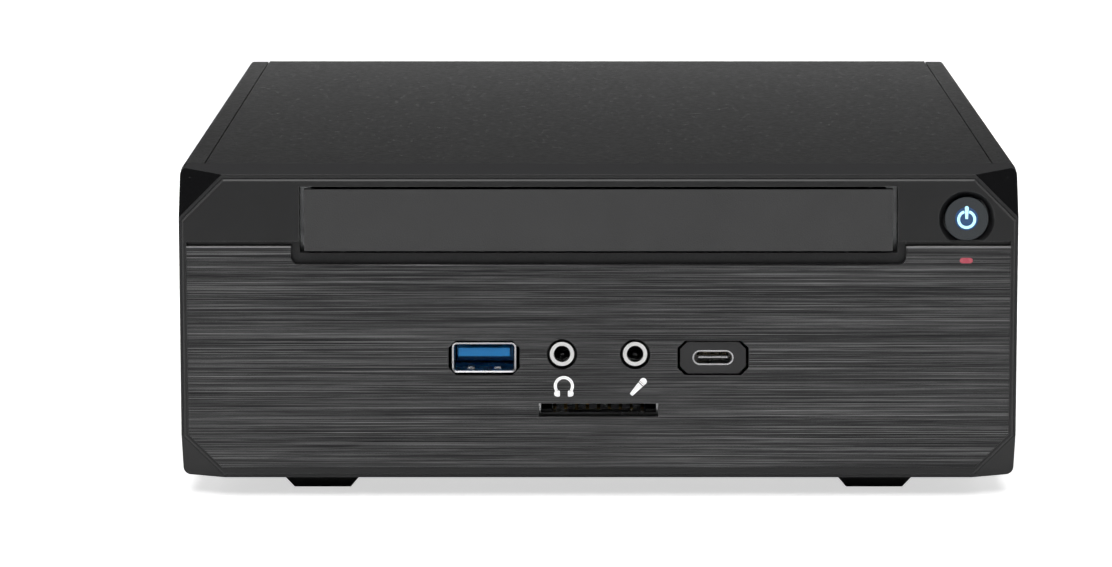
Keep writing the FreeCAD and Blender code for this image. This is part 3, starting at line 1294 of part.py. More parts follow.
def leads():
    """The leads between the inner pieces, each along its own route."""
    x, y, z = INLET_X, REAR_INNER - 13.0, INLET_Z
    card = CONVERTER_Y + d.board_thickness / 2
    first, last = CONVERTER_X - d.converter_width / 2, CONVERTER_X + 24.2  # where leads meet the card
    inlet = [(x, y, z), (x, y - 22.0, z), (first - 1.0, y - 50.0, BOARD_TOP + 36.0),
             (first, y - 82.0, BOARD_TOP + 27.0), (first + 1.0, card + 44.0, BOARD_TOP + 25.0),
             (first, card + 20.0, BOARD_TOP + 28.0), (first, card, BOARD_TOP + 28.0)]
    over, high = CAGE_FLOOR - 1.7, BOARD_TOP + 34.0
    drive_back, drive_z = DRIVE_FRONT + d.drive_length, CAGE_FLOOR + d.sheet + 3.5
    drive = [(last, card, high), (last, card + 8.0, high), (-46.0, card + 27.0, over),
             (-47.0, drive_back + 6.0, over), (-42.0, drive_back + 13.0, drive_z),
             (-8.0, drive_back + 14.0, drive_z), (-8.0, drive_back, drive_z)]
    keep(group(lead(inlet, d.lead_radius), lead(drive, d.lead_radius - 0.3)), "power_leads")

    x, y = HEADERS["usb"]
    start = WALL_BACK + d.io_board_depth - 4.0
    usb = [(x, start, IO_TOP), (x, start, IO_TOP + 8.0), (x, (start + y) / 2, IO_TOP + 12.0),
           (x, y, IO_TOP + 7.0), (x, y, BOARD_TOP + 9.0)]
    x, y = HEADERS["panel"]
    start = WALL_BACK + d.switch_depth + d.board_thickness
    panel = [(BUTTON_X, start, LIGHT_Z - 1.0), (BUTTON_X, start + 9.0, LIGHT_Z - 1.0),
             (x + 6.0, y - 9.0, BOARD_TOP + 26.0), (x, y, BOARD_TOP + 19.0), (x, y, BOARD_TOP + 8.0)]
    x, y = HEADERS["fan"]
    fan_lead = [(d.cooler_side / 2, y, FAN_Z + 6.0), (x - 6.0, y, FAN_Z + 6.0), (x, y, BOARD_TOP + 18.0),
                (x, y, BOARD_TOP + 7.6)]
    sata = [(20.0, drive_back, drive_z), (20.0, drive_back + 9.0, drive_z),
            (52.0, drive_back + 12.0, drive_z - 2.0),
            (SATA_X, SATA_Y + 16.0, BOARD_TOP + 29.0), (SATA_X, SATA_Y, BOARD_TOP + 22.0),
            (SATA_X, SATA_Y, BOARD_TOP + 8.4)]
    thin = d.lead_radius - 0.3
    keep(group(lead(usb, d.lead_radius + 0.2), *[lead(route, thin) for route in (panel, fan_lead, sata)]),
         "signal_leads")


BUILDERS = [
    front_bezel, trim_plate, brushed_faceplate, drive_bay_cover, button_parts, front_connectors,
    front_wall, base_pan, rear_panel, top_cover, fasteners, rubber_feet, main_board,
    processor_and_cooler, fan, memory, board_parts, rear_connectors, power_parts, drive_parts,
]
for build in BUILDERS:
    build()
side_panel(-1, "side_panel_left")
side_panel(1, "side_panel_right")
thumbscrew(-1, "thumbscrew_left")
thumbscrew(1, "thumbscrew_right")
leads()
keep(group(*screws), "case_screws")
doc.recompute()

# ---------------------------------------------------------------- checks and files
failed = [o.Label for o in doc.Objects if {"Invalid", "Error"} & set(o.State)]
if failed:
    raise RuntimeError(f"objects failed to build: {failed}")
os.makedirs("parts", exist_ok=True)
for part in parts:
    shape = part.Shape
    if shape.isNull() or not shape.isValid() or not shape.Solids:
        raise RuntimeError(f"{part.Label} has no valid solid")
    shape.exportStep(os.path.join("parts", f"{part.Label}.step"))
print(len(parts), "nodes,", sum(len(p.Shape.Solids) for p in parts), "solids")
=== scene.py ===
import math
import random

import bmesh
import bpy
from mathutils import Matrix, Vector

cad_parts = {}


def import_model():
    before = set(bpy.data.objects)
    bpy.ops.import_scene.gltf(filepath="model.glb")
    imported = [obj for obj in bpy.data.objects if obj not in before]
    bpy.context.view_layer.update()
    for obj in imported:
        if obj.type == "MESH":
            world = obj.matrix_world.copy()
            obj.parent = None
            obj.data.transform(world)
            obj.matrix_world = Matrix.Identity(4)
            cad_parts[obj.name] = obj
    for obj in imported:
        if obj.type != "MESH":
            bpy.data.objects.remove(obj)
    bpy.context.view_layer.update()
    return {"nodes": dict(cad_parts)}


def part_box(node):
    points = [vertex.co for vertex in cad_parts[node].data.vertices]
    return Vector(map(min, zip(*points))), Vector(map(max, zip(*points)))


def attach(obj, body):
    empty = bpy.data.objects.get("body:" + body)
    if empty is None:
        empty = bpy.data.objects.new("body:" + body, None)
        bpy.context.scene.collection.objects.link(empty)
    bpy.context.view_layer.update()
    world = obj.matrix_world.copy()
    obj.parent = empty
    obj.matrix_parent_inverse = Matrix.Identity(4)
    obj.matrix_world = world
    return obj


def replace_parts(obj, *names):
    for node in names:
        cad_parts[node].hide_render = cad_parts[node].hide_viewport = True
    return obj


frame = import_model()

MM = 0.001
chance = random.Random(7)
scene = bpy.context.scene
nodes = frame["nodes"]


plate_low, plate_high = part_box("brushed_faceplate")
trim_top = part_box("trim_plate")[1][2]


# ---------------- finishes
class Finish:
    """A material built up in layers of nodes over one Principled shader, in the object's own coordinates."""

    def __init__(self, name, color, rough, metal=0.0, **sockets):
        self.material = bpy.data.materials.new(name)
        self.material.use_nodes = True
        self.tree = self.material.node_tree
        self.shader = self.tree.nodes["Principled BSDF"]
        self.color = None
        self.base = (*color, 1.0)
        self.normal = None
        self.shader.inputs["Base Color"].default_value = self.base
        self.shader.inputs["Roughness"].default_value = rough
        self.shader.inputs["Metallic"].default_value = metal
        for socket, value in sockets.items():
            self.shader.inputs[socket.replace("_", " ")].default_value = value
        self.place = self.add("ShaderNodeTexCoord").outputs["Object"]

    def add(self, kind, inputs=(), **props):
        node = self.tree.nodes.new(kind)
        for prop, value in props.items():
            setattr(node, prop, value)
        for socket, value in dict(inputs).items():
            if isinstance(value, bpy.types.NodeSocket):
                self.tree.links.new(value, node.inputs[socket])
            else:
                node.inputs[socket].default_value = value
        return node

    def link(self, output, socket):
        self.tree.links.new(output, self.shader.inputs[socket])

    def stretched(self, size, stretch):
        scale = tuple(1 / (size * s) for s in stretch)
        return self.add("ShaderNodeMapping", {"Vector": self.place, "Scale": scale}).outputs["Vector"]

    def noise(self, size, stretch=(1, 1, 1), detail=2.0, rough=0.5):
        """Cloudy noise whose features measure about `size` metres, times `stretch` along each axis."""
        where = self.stretched(size, stretch)
        made = self.add("ShaderNodeTexNoise", {"Vector": where, "Scale": 1.0, "Detail": detail,
                                               "Roughness": rough})
        return made.outputs["Fac"]

    def cells(self, size, output="Distance"):
        """A pattern of cells about `size` metres wide."""
        made = self.add("ShaderNodeTexVoronoi", {"Vector": self.stretched(size, (1, 1, 1)), "Scale": 1.0})
        return made.outputs[output]

    def between(self, fac, low, high, to_low=0.0, to_high=1.0):
        """Maps the factor's stretch from low to high onto another stretch, clamped."""
        made = self.add("ShaderNodeMapRange", {0: fac, 1: low, 2: high, 3: to_low, 4: to_high})
        return made.outputs[0]

    def math(self, operation, a, b=0.0):
        return self.add("ShaderNodeMath", {0: a, 1: b}, operation=operation).outputs[0]

    def axis(self, letter, source="Object"):
        """One coordinate of the place, or of the surface's normal in the object's own directions."""
        if source == "Object":
            vector = self.place
        else:
            vector = self.add("ShaderNodeTexCoord").outputs["Normal"]
        return self.add("ShaderNodeSeparateXYZ", {0: vector}).outputs[letter.upper()]

    def tint(self, fac, color):
        """Mixes another colour in where the factor is high."""
        under = self.color if self.color is not None else self.base
        made = self.add("ShaderNodeMix", {0: fac, 6: under, 7: (*color, 1.0)}, data_type="RGBA")
        self.color = made.outputs[2]
        self.link(self.color, "Base Color")
        return self

    def polish(self, fac, low, high):
        """Roughness that follows the factor."""
        self.link(self.between(fac, 0.25, 0.75, low, high), "Roughness")
        return self

    def bump(self, fac, depth, strength=1.0):
        """Relief of this depth in metres."""
        inputs = {"Height": fac, "Distance": depth, "Strength": strength}
        if self.normal is not None:
            inputs["Normal"] = self.normal
        self.normal = self.add("ShaderNodeBump", inputs).outputs["Normal"]
        self.link(self.normal, "Normal")
        return self

    def soft_edges(self, radius):
        """Rounds the look of sharp edges. It comes before any bump."""
        self.normal = self.add("ShaderNodeBevel", {"Radius": radius}, samples=4).outputs["Normal"]
        self.link(self.normal, "Normal")
        return self

    def edge_wear_and_highlight(self, radius, color, even=False):
        """Lightens the outermost edges: unevenly, as wear from handling, or evenly, as a painted highlight
        along chamfers.
        """
        rounded = self.add("ShaderNodeBevel", {"Radius": radius}, samples=6).outputs["Normal"]
        flat = self.add("ShaderNodeNewGeometry").outputs["Normal"]
        same = self.add("ShaderNodeVectorMath", {0: rounded, 1: flat},
                        operation="DOT_PRODUCT").outputs["Value"]
        edge = self.between(same, 0.96, 0.80)
        if even:
            return self.tint(edge, color)
        uneven = self.between(self.noise(2.5 * MM, detail=4.0), 0.42, 0.62)
        return self.tint(self.math("MULTIPLY", edge, uneven), color)


def moulded(name, color, rough, grain=0.25, depth=0.012, **sockets):
    """Injection-moulded plastic with a fine spark texture."""
    f = Finish(name, color, rough, **sockets).soft_edges(0.12 * MM)
    fine = f.noise(grain * MM, detail=3.0)
    f.bump(fine, depth * MM).polish(f.noise(9 * MM), rough * 0.88, rough * 1.12)
    f.tint(f.between(f.noise(14 * MM), 0.3, 0.7, 0.0, 0.35), tuple(c * 1.35 for c in color))
    return f


def trim_plastic():
    """Dark satin moulding with a painted highlight along its narrow chamfers."""
    f = Finish("trim_plastic", (0.0065, 0.0065, 0.007), 0.34)
    # painted highlight: an even pale band along every chamfer of the trim plate
    f.edge_wear_and_highlight(0.22 * MM, (0.11, 0.11, 0.112), even=True)
    f.soft_edges(0.10 * MM)
    f.bump(f.noise(0.4 * MM, detail=3.0), 0.006 * MM).polish(f.noise(9 * MM), 0.28, 0.36)
    return f


def plated(name, color, rough, streak=(1, 1, 1), **sockets):
    """Bright plated or rolled metal with faint streaks and stains."""
    f = Finish(name, color, rough, 1.0, **sockets).soft_edges(0.08 * MM)
    f.bump(f.noise(0.6 * MM, streak, detail=4.0), 0.004 * MM)
    f.polish(f.noise(5 * MM, detail=4.0), rough * 0.75, rough * 1.3)
    f.tint(f.between(f.noise(3 * MM, streak), 0.35, 0.7, 0.0, 0.5), tuple(c * 0.8 for c in color))
    return f


def powder_coat():
    """Satin black powder coat: a fine pebbled grain over steel, worn a little along its edges."""
    f = Finish("powder_coat", (0.0035, 0.0035, 0.0037), 0.45, Specular_IOR_Level=0.4).soft_edges(0.3 * MM)
    f.edge_wear_and_highlight(0.4 * MM, (0.035, 0.035, 0.036))
    grain = f.noise(0.55 * MM, detail=3.0, rough=0.65)
    f.tint(f.between(grain, 0.52, 0.72), (0.012, 0.012, 0.0123))
    f.bump(grain, 0.035 * MM)
    f.polish(f.noise(1.3 * MM, detail=3.0), 0.26, 0.38)
    return f


def brushed_black():
    """Black anodised aluminium, brushed from side to side, with a painted highlight along its top edge."""
    f = Finish("brushed_black", (0.050, 0.050, 0.051), 0.42, 1.0, Anisotropic=0.45)
    long_lines = f.noise(0.15 * MM, (800, 1, 1), detail=6.0, rough=0.8)
    hairs = f.noise(0.10 * MM, (420, 1, 1), detail=3.0, rough=0.7)
    bands = f.noise(1.6 * MM, (60, 1, 1), detail=3.0)
    f.tint(f.between(bands, 0.42, 0.62, 0.0, 0.7), (0.085, 0.085, 0.086))
    f.tint(f.between(long_lines, 0.53, 0.61), (0.36, 0.36, 0.362))
    f.tint(f.between(long_lines, 0.47, 0.39), (0.010, 0.010, 0.011))
    f.tint(f.between(hairs, 0.56, 0.66, 0.0, 0.9), (0.20, 0.20, 0.202))
    f.tint(f.between(hairs, 0.45, 0.36, 0.0, 0.9), (0.012, 0.012, 0.013))
    # painted highlight: a light band along the plate's top edge, picked out by height alone
    painted_top_edge_highlight = f.between(f.axis("z"), plate_high[2] - 0.45 * MM, plate_high[2] - 0.25 * MM)
    f.tint(painted_top_edge_highlight, (0.34, 0.34, 0.345))
    f.bump(long_lines, 0.014 * MM).bump(hairs, 0.010 * MM)
    f.polish(long_lines, 0.34, 0.5)
    return f


def bezel_plastic():
    """Moulded black plastic: its four slanting corner facets and the band above the trim are polished, and
    darkened in colour as painted shade.
    """
    f = Finish("bezel_plastic", (0.012, 0.012, 0.013), 0.42).soft_edges(0.18 * MM)
    sideways = f.math("ABSOLUTE", f.axis("x", "Normal"))
    upright = f.math("ABSOLUTE", f.axis("z", "Normal"))
    slanting = f.math("MULTIPLY", f.between(sideways, 0.12, 0.25), f.between(upright, 0.12, 0.25))
    not_round = f.between(f.math("MULTIPLY", f.axis("y", "Normal"), -1.0), 0.55, 0.7)
    polished_facets_painted_shade = f.math("MULTIPLY", slanting, not_round)
    above_trim = f.between(f.axis("z"), trim_top, trim_top + 0.02 * MM)
    polished_band_painted_shade = f.math("MULTIPLY", above_trim, f.between(upright, 0.5, 0.3))
    polished_facets_painted_shade = f.math("MAXIMUM", polished_facets_painted_shade, polished_band_painted_shade)
    matte = f.math("SUBTRACT", 1.0, polished_facets_painted_shade)
    f.tint(f.between(f.noise(0.35 * MM), 0.4, 0.7, 0.0, 0.6), (0.022, 0.022, 0.023))
    # painted shade: the facets and the band, picked out by which way they face, get a near-black colour
    f.tint(polished_facets_painted_shade, (0.003, 0.003, 0.0035))
    f.bump(f.math("MULTIPLY", f.noise(0.3 * MM, detail=3.0), matte), 0.02 * MM)
    f.link(f.between(polished_facets_painted_shade, 0.0, 1.0, 0.42, 0.12), "Roughness")
    return f


def galvanised():
    """Zinc-plated sheet steel with a faint spangle and rolling marks."""
    f = Finish("galvanised_sheet", (0.56, 0.57, 0.58), 0.36, 1.0).soft_edges(0.2 * MM)
    spangle = f.cells(2.2 * MM, output="Color")
    tone = f.add("ShaderNodeRGBToBW", {0: spangle}).outputs[0]
    f.tint(f.between(tone, 0.2, 0.8, 0.0, 0.35), (0.46, 0.47, 0.49))
    f.tint(f.between(f.noise(0.5 * MM, (1, 60, 1), detail=4.0), 0.5, 0.7, 0.0, 0.4), (0.68, 0.68, 0.69))
    f.bump(f.noise(0.35 * MM, (1, 50, 1), detail=4.0), 0.006 * MM)
    f.polish(tone, 0.34, 0.42)
    return f


def solder_mask(name, color, copper, pitch):
    """A printed board: glossy mask over copper tracks, with ground fill and dotted vias."""
    f = Finish(name, color, 0.3, Coat_Weight=0.35, Coat_Roughness=0.15).soft_edges(0.05 * MM)
    field = f.noise(9 * MM, detail=1.0)
    pick = f.between(f.noise(13 * MM, detail=0.0), 0.49, 0.51)
    stripes = []
    for letter in "xy":
        place = f.math("MODULO", f.math("ADD", f.axis(letter), 1.0), pitch)
        off = f.math("ABSOLUTE", f.math("SUBTRACT", place, pitch / 2))
        stripes.append(f.between(off, pitch * 0.2, pitch * 0.26))
    lines = f.add("ShaderNodeMix", {0: pick, 2: stripes[0], 3: stripes[1]}).outputs[0]
    routed = f.math("MULTIPLY", lines, f.between(field, 0.46, 0.5))
    fill = f.between(field, 0.40, 0.37)
    tracks = f.math("MAXIMUM", routed, fill)
    vias = f.between(f.cells(2.6 * MM), 0.13, 0.10)
    f.tint(tracks, copper)
    f.tint(vias, (0.45, 0.42, 0.30))
    f.bump(tracks, 0.02 * MM).bump(vias, -0.03 * MM)
    return f


def glowing(name, color, strength, edge):
    """A translucent lens lit from behind, its tone uneven in cloudy patches."""
    f = Finish(name, color, 0.25, Coat_Weight=0.6, Coat_Roughness=0.05)
    uneven = f.noise(1.2 * MM, detail=2.0)
    f.tint(f.between(uneven, 0.3, 0.7, 0.0, 0.4), edge)
    f.shader.inputs["Emission Color"].default_value = (*color, 1.0)
    f.shader.inputs["Emission Strength"].default_value = strength
    f.bump(uneven, 0.005 * MM)
    return f


def extruded(name, color, along):
    """Extruded aluminium with drawing lines along one axis."""
    stretch = tuple(70 if letter == along else 1 for letter in "xyz")
    f = Finish(name, color, 0.34, 1.0).soft_edges(0.08 * MM)
    lines = f.noise(0.22 * MM, stretch, detail=4.0)
    f.tint(f.between(lines, 0.45, 0.65, 0.0, 0.5), tuple(c * 0.72 for c in color))
    f.bump(lines, 0.006 * MM).polish(f.noise(6 * MM), 0.28, 0.42)
    return f


FINISHES = {
    "powder": powder_coat(),
    "brushed": brushed_black(),
    "bezel": bezel_plastic(),
    "trim": trim_plastic(),
    "bay": moulded("bay_plastic", (0.044, 0.044, 0.0445), 0.52, 0.30, 0.07),
    "button": moulded("button_plastic", (0.010, 0.016, 0.021), 0.22, 0.8, 0.003, Coat_Weight=0.4),
    "lens": glowing("lens_glow", (0.003, 0.05, 0.17), 0.16, (0.006, 0.09, 0.24)),
    "symbol": glowing("symbol_glow", (0.42, 0.80, 1.0), 0.75, (0.7, 0.95, 1.0)),
    "red": glowing("red_lens", (0.48, 0.045, 0.085), 0.06, (0.62, 0.16, 0.17)),
    "led": glowing("led_lens", (0.8, 0.8, 0.7), 0.1, (0.6, 0.6, 0.5)),
    "tin": plated("tin_plate", (0.62, 0.62, 0.63), 0.26, (6, 1, 1)),
    "chrome": plated("nickel_ring", (0.72, 0.72, 0.71), 0.14),
    "screw": plated("zinc_screw", (0.5, 0.5, 0.5), 0.3),
    "gold": plated("gold_plate", (0.83, 0.58, 0.22), 0.25),
    "brass": plated("brass_standoff", (0.70, 0.52, 0.26), 0.3),
    "blue": moulded("usb_blue", (0.0, 0.19, 0.50), 0.36, 0.4, 0.006),
    "black": moulded("connector_black", (0.014, 0.014, 0.015), 0.45, 0.3, 0.010),
    "grey": moulded("port_grey", (0.021, 0.021, 0.022), 0.40, 0.3, 0.012),
    "ivory": moulded("ivory_plastic", (0.72, 0.70, 0.62), 0.42, 0.4, 0.006),
    "rubber": moulded("foot_rubber", (0.012, 0.012, 0.012), 0.78, 0.5, 0.05),
    "sheet": galvanised(),
    "board": solder_mask("board_black", (0.010, 0.013, 0.016), (0.022, 0.028, 0.034), 0.55 * MM),
    "green": solder_mask("board_green", (0.004, 0.060, 0.030), (0.010, 0.105, 0.052), 0.5 * MM),
    "aluminium": extruded("fin_aluminium", (0.72, 0.73, 0.74), "y"),
    "chip_metal": plated("heat_spreader", (0.66, 0.65, 0.62), 0.33),
    "drive": plated("drive_shell", (0.13, 0.14, 0.15), 0.42, (1, 40, 1)),
    "ferrite": moulded("ferrite", (0.055, 0.055, 0.057), 0.6, 0.25, 0.02),
    "fan": moulded("fan_plastic", (0.016, 0.016, 0.017), 0.33, 0.6, 0.006),
    "chip": moulded("chip_resin", (0.018, 0.018, 0.019), 0.55, 0.2, 0.01),
    # white print with a painted glow: its emission makes it shine though nothing lights it from within
    "print_painted_glow": moulded("printed_white_painted_glow", (0.93, 0.93, 0.93), 0.5, 0.2, 0.002, Emission_Color=(1, 1, 1, 1),
                     Emission_Strength=0.25),
    # near-black for printed marks, and painted shade for the grooves scored on capacitor tops
    "dark": moulded("dark_marks_and_groove_shade", (0.004, 0.004, 0.004), 0.8, 0.3, 0.01),
    "ceramic": moulded("ceramic_tan", (0.33, 0.24, 0.15), 0.45, 0.3, 0.006),
    "knurl": plated("black_thumbscrew", (0.045, 0.045, 0.047), 0.38),
}

WIRE_COLORS = {"black": (0.014, 0.014, 0.014), "red": (0.50, 0.020, 0.016), "yellow": (0.75, 0.50, 0.03),
               "white": (0.70, 0.70, 0.67), "blue": (0.03, 0.12, 0.50)}
JACK_COLORS = {"green": (0.10, 0.42, 0.12), "blue": (0.08, 0.27, 0.50), "pink": (0.62, 0.20, 0.28)}
for tone, color in WIRE_COLORS.items():
    FINISHES["wire_" + tone] = moulded("wire_" + tone, color, 0.42, 0.6, 0.004)
for tone, color in JACK_COLORS.items():
    FINISHES["jack_" + tone] = moulded("jack_" + tone, color, 0.4, 0.3, 0.006)

NODES_BY_FINISH = {
    "bezel": "front_bezel",
    "trim": "trim_plate",
    "brushed": "brushed_faceplate",
    "bay": "drive_bay_cover",
    "button": "power_button",
    "lens": "power_symbol_lens",
    "black": ("power_switch headset_jack_bodies usb_c_tongue memory_slots sata_sockets pin_headers "
              "rear_audio_jacks dc_inlet"),
    "green": "switch_board front_io_board memory_modules power_converter",
    "led": "status_leds",
    "red": "activity_light_pipe",
    "tin": "usb_a_shell usb_c_shell card_reader rear_usb_shells display_ports network_jack",
    "blue": "usb_a_insert rear_usb_inserts",
    "chrome": "headset_jack_rings capacitors dc_inlet_pin",
    "grey": "usb_c_surround",
    "sheet": "front_wall base_pan rear_panel io_shield drive_cage",
    "powder": "side_panel_left side_panel_right top_cover",
    "knurl": "thumbscrew_left thumbscrew_right",
    "screw": "case_screws chassis_rivets cooler_posts",
    "rubber": "rubber_feet power_leads signal_leads",
    "board": "motherboard",
    "brass": "board_standoffs",
    "ivory": "cpu_socket board_power_socket",
    "chip_metal": "processor",
    "aluminium": "cpu_heatsink chipset_heatsink regulator_heatsink",
    "fan": "cpu_fan_frame cpu_fan_rotor",
    "ferrite": "inductors",
    "drive": "solid_state_drive",
}
for finish, names in NODES_BY_FINISH.items():
    for node in names.split():
        nodes[node].data.materials.clear()
        nodes[node].data.materials.append(FINISHES[finish].material)


# ---------------- modelling helpers
TURNS = {"x": Matrix.Rotation(math.pi / 2, 3, "Y"), "y": Matrix.Rotation(-math.pi / 2, 3, "X"),
         "z": Matrix.Identity(3)}


class Builder:
    """Gathers volumes in one mesh, in row-frame metres, and turns them into a piece that rides a body."""

    def __init__(self):
        self.mesh = bmesh.new()

    def box(self, low, high, soft=0.0):
        """A block between two corners, with its edges rounded by `soft`."""
        low, high = Vector(low), Vector(high)
        made = bmesh.ops.create_cube(self.mesh, size=1.0)
        size = high - low
        for v in made["verts"]:
            v.co = Vector(a * b for a, b in zip(v.co, size)) + (low + high) / 2
        if soft:
            edges = list({e for v in made["verts"] for e in v.link_edges})
            bmesh.ops.bevel(self.mesh, geom=edges, offset=soft, segments=2, profile=0.6, affect="EDGES")
        return self

    def bar(self, x, half, low, high, soft=0.0):
        """A block that reaches `half` to both sides of x, between two corners in y and z."""
        return self.box((x - half, *low), (x + half, *high), soft)

    def lathe(self, centre, axis, profile, segments=32, capped=True):
        """Turns (radius, distance along the axis) points about an axis letter through a centre."""
        turn = TURNS[axis]
        rings = []
        for radius, along in profile:
            if radius < 1e-7:
                rings.append([self.mesh.verts.new(Vector(centre) + turn @ Vector((0, 0, along)))])
                continue
            ring = []
            for step in range(segments):
                angle = 2 * math.pi * step / segments
                point = Vector((radius * math.cos(angle), radius * math.sin(angle), along))
                ring.append(self.mesh.verts.new(Vector(centre) + turn @ point))
            rings.append(ring)
        for a, b in zip(rings, rings[1:]):
            for i in range(segments):
                j = (i + 1) % segments
                corners = [a[i % len(a)], a[j % len(a)], b[j % len(b)], b[i % len(b)]]
                corners = [v for k, v in enumerate(corners) if v not in corners[:k]]
                if len(corners) > 2:
                    self.mesh.faces.new(corners)
        for ring in (rings[0], rings[-1]) if capped else ():
            if len(ring) > 2:
                self.mesh.faces.new(ring)
        return self

    def tube(self, centre, axis, profile, segments=40):
        """Turns a closed outline of (radius, distance) points, so that it leaves a hole."""
        return self.lathe(centre, axis, profile + profile[:1], segments, capped=False)

    def recess(self, centre, axis, sign, radius, height, segments):
        """A flat top with a cross recess sunk in it, level with a lathe's last ring."""
        turn = TURNS[axis]
        arm, half, depth = 0.78 * radius, 0.21 * radius, 0.55 * radius

        def vertex(x, y, z):
            return self.mesh.verts.new(Vector(centre) + turn @ Vector((x, y, sign * z)))

        circle = [vertex(radius * math.cos(2 * math.pi * i / segments),
                         radius * math.sin(2 * math.pi * i / segments), height)
                  for i in range(segments)]
        corners = []
        for quarter in range(4):
            angle = quarter * math.pi / 2
            for x, y in ((arm, -half), (arm, half), (half, half)):
                corners.append((x * math.cos(angle) - y * math.sin(angle),
                                x * math.sin(angle) + y * math.cos(angle)))
        cross = [vertex(x, y, height) for x, y in corners]
        floor = [vertex(x * 0.72, y * 0.72, height - depth) for x, y in corners]
        edges = []
        for ring in (circle, cross):
            edges += [self.mesh.edges.new((a, b)) for a, b in zip(ring, ring[1:] + ring[:1])]
        bmesh.ops.triangle_fill(self.mesh, use_beauty=True, use_dissolve=False, edges=edges)
        for i in range(len(cross)):
            j = (i + 1) % len(cross)
            self.mesh.faces.new((cross[i], cross[j], floor[j], floor[i]))
        self.mesh.faces.new(floor)
        return self

    def prism(self, outline, low, high, place=None):
        """Extrudes an outline in local x and y between two local z levels, then puts it in place."""
        place = place or Matrix.Identity(4)
        bottom = [self.mesh.verts.new(place @ Vector((x, y, low))) for x, y in outline]
        top = [self.mesh.verts.new(place @ Vector((x, y, high))) for x, y in outline]
        self.mesh.faces.new(bottom[::-1])
        self.mesh.faces.new(top)
        for i in range(len(outline)):
            j = (i + 1) % len(outline)
            self.mesh.faces.new((bottom[i], bottom[j], top[j], top[i]))
        return self

    def piece(self, name, finish, body="chassis", slot=None, sharp=35):
        bmesh.ops.recalc_face_normals(self.mesh, faces=self.mesh.faces)
        data = bpy.data.meshes.new(name)
        self.mesh.to_mesh(data)
        self.mesh.free()
        data.shade_smooth()
        data.set_sharp_from_angle(angle=math.radians(sharp))
        made = bpy.data.objects.new(name, data)
        scene.collection.objects.link(made)
        data.materials.append(FINISHES[finish].material)
        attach(made, body)
        return made


def span(node):
    low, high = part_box(node)
    return Vector(low), Vector(high)


def islands(node):
    """The separate solids of a CAD node, each as the list of its points, in a fixed order."""
    mesh = bmesh.new()
    mesh.from_mesh(nodes[node].data)
    bmesh.ops.remove_doubles(mesh, verts=mesh.verts, dist=1e-6)
    left = set(mesh.verts)
    groups = []
    while left:
        front = [left.pop()]
        found = list(front)
        while front:
            here = front.pop()
            for edge in here.link_edges:
                other = edge.other_vert(here)
                if other in left:
                    left.discard(other)
                    found.append(other)
                    front.append(other)
        groups.append([v.co.copy() for v in found])
    mesh.free()
    return sorted(groups, key=lambda points: [round(c, 5) for c in box_of(points)[0]])


def box_of(points):
    axes = list(zip(*points))
    return Vector(min(a) for a in axes), Vector(max(a) for a in axes)


def row(middle, count, pitch):
    """Places spaced evenly about a middle."""
    return [middle + (step - (count - 1) / 2) * pitch for step in range(count)]


def centre_of(node):
    low, high = span(node)
    return (low + high) / 2


def mm(points):
    """Points of an outline given in millimetres."""
    return [(a * MM, b * MM) for a, b in points]


def arc(centre, radius, start, end, steps):
    """Points on a circle between two angles in degrees."""
    span = math.radians(end - start)
    angles = [math.radians(start) + span * i / steps for i in range(steps + 1)]
    return [(centre[0] + radius * math.cos(a), centre[1] + radius * math.sin(a)) for a in angles]


def band(centre, outer, inner, start, end, steps=28):
    """The outline of part of a flat ring."""
    return arc(centre, outer, start, end, steps) + arc(centre, inner, end, start, steps)


def from_the_side(y, z):
    """Local x towards the back, local y up and local z to the right, about a point of the side view."""
    return Matrix(((0, 0, 1, 0), (1, 0, 0, y), (0, 1, 0, z), (0, 0, 0, 1)))


def on_front(x, z, y):
    """Local x and y in the front view, local z towards the front, about a point of the faceplate."""
    return Matrix(((1, 0, 0, x), (0, 0, -1, y), (0, 1, 0, z), (0, 0, 0, 1)))


# ---------------- the front's markings and lights
FACE_Y = plate_low[1]
board_low, board_high = span("motherboard")
BOARD_TOP = board_high.z
jacks_low, jacks_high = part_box("headset_jack_rings")
JACK_Z = (jacks_low[2] + jacks_high[2]) / 2
JACK_X = jacks_high[0] - (jacks_high[2] - jacks_low[2]) / 2
PRINT = 0.02 * MM


def power_symbol():
    lens_low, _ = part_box("power_symbol_lens")
    centre = centre_of("power_symbol_lens")
    place = on_front(centre[0], centre[2] - 0.15 * MM, lens_low[1])
    shape = Builder()
    gap = 17
    shape.prism(band((0, 0), 2.05 * MM, 1.45 * MM, 90 + gap, 450 - gap, 40), 0, 0.05 * MM, place)
    bar = mm([(-0.42, 2.5), (-0.28, 0.1), (0.28, 0.1), (0.42, 2.5)])
    bar += arc((0, 2.5 * MM), 0.42 * MM, 20, 160, 8)
    shape.prism(bar, 0, 0.05 * MM, place)
    shape.piece("power_symbol", "symbol", "button", "lens_blue")


def headphone_symbol():
    place = on_front(-JACK_X + 0.4 * MM, JACK_Z - 7.1 * MM, FACE_Y) @ Matrix.Scale(1.1, 4)
    shape = Builder()
    shape.prism(band((0, 0.1 * MM), 2.0 * MM, 1.4 * MM, -32, 212), 0, PRINT, place)
    for side in (-1, 1):
        ear = arc((1.32, -1.42), 0.62, -90, 90, 10)
        ear += [(0.95, -0.8), (0.78, -0.95), (0.78, -1.95), (0.95, -2.04)]
        shape.prism([(side * x * MM, y * MM) for x, y in ear], 0, PRINT, place)
    shape.piece("headphone_symbol", "print_painted_glow", slot="brushed_face")


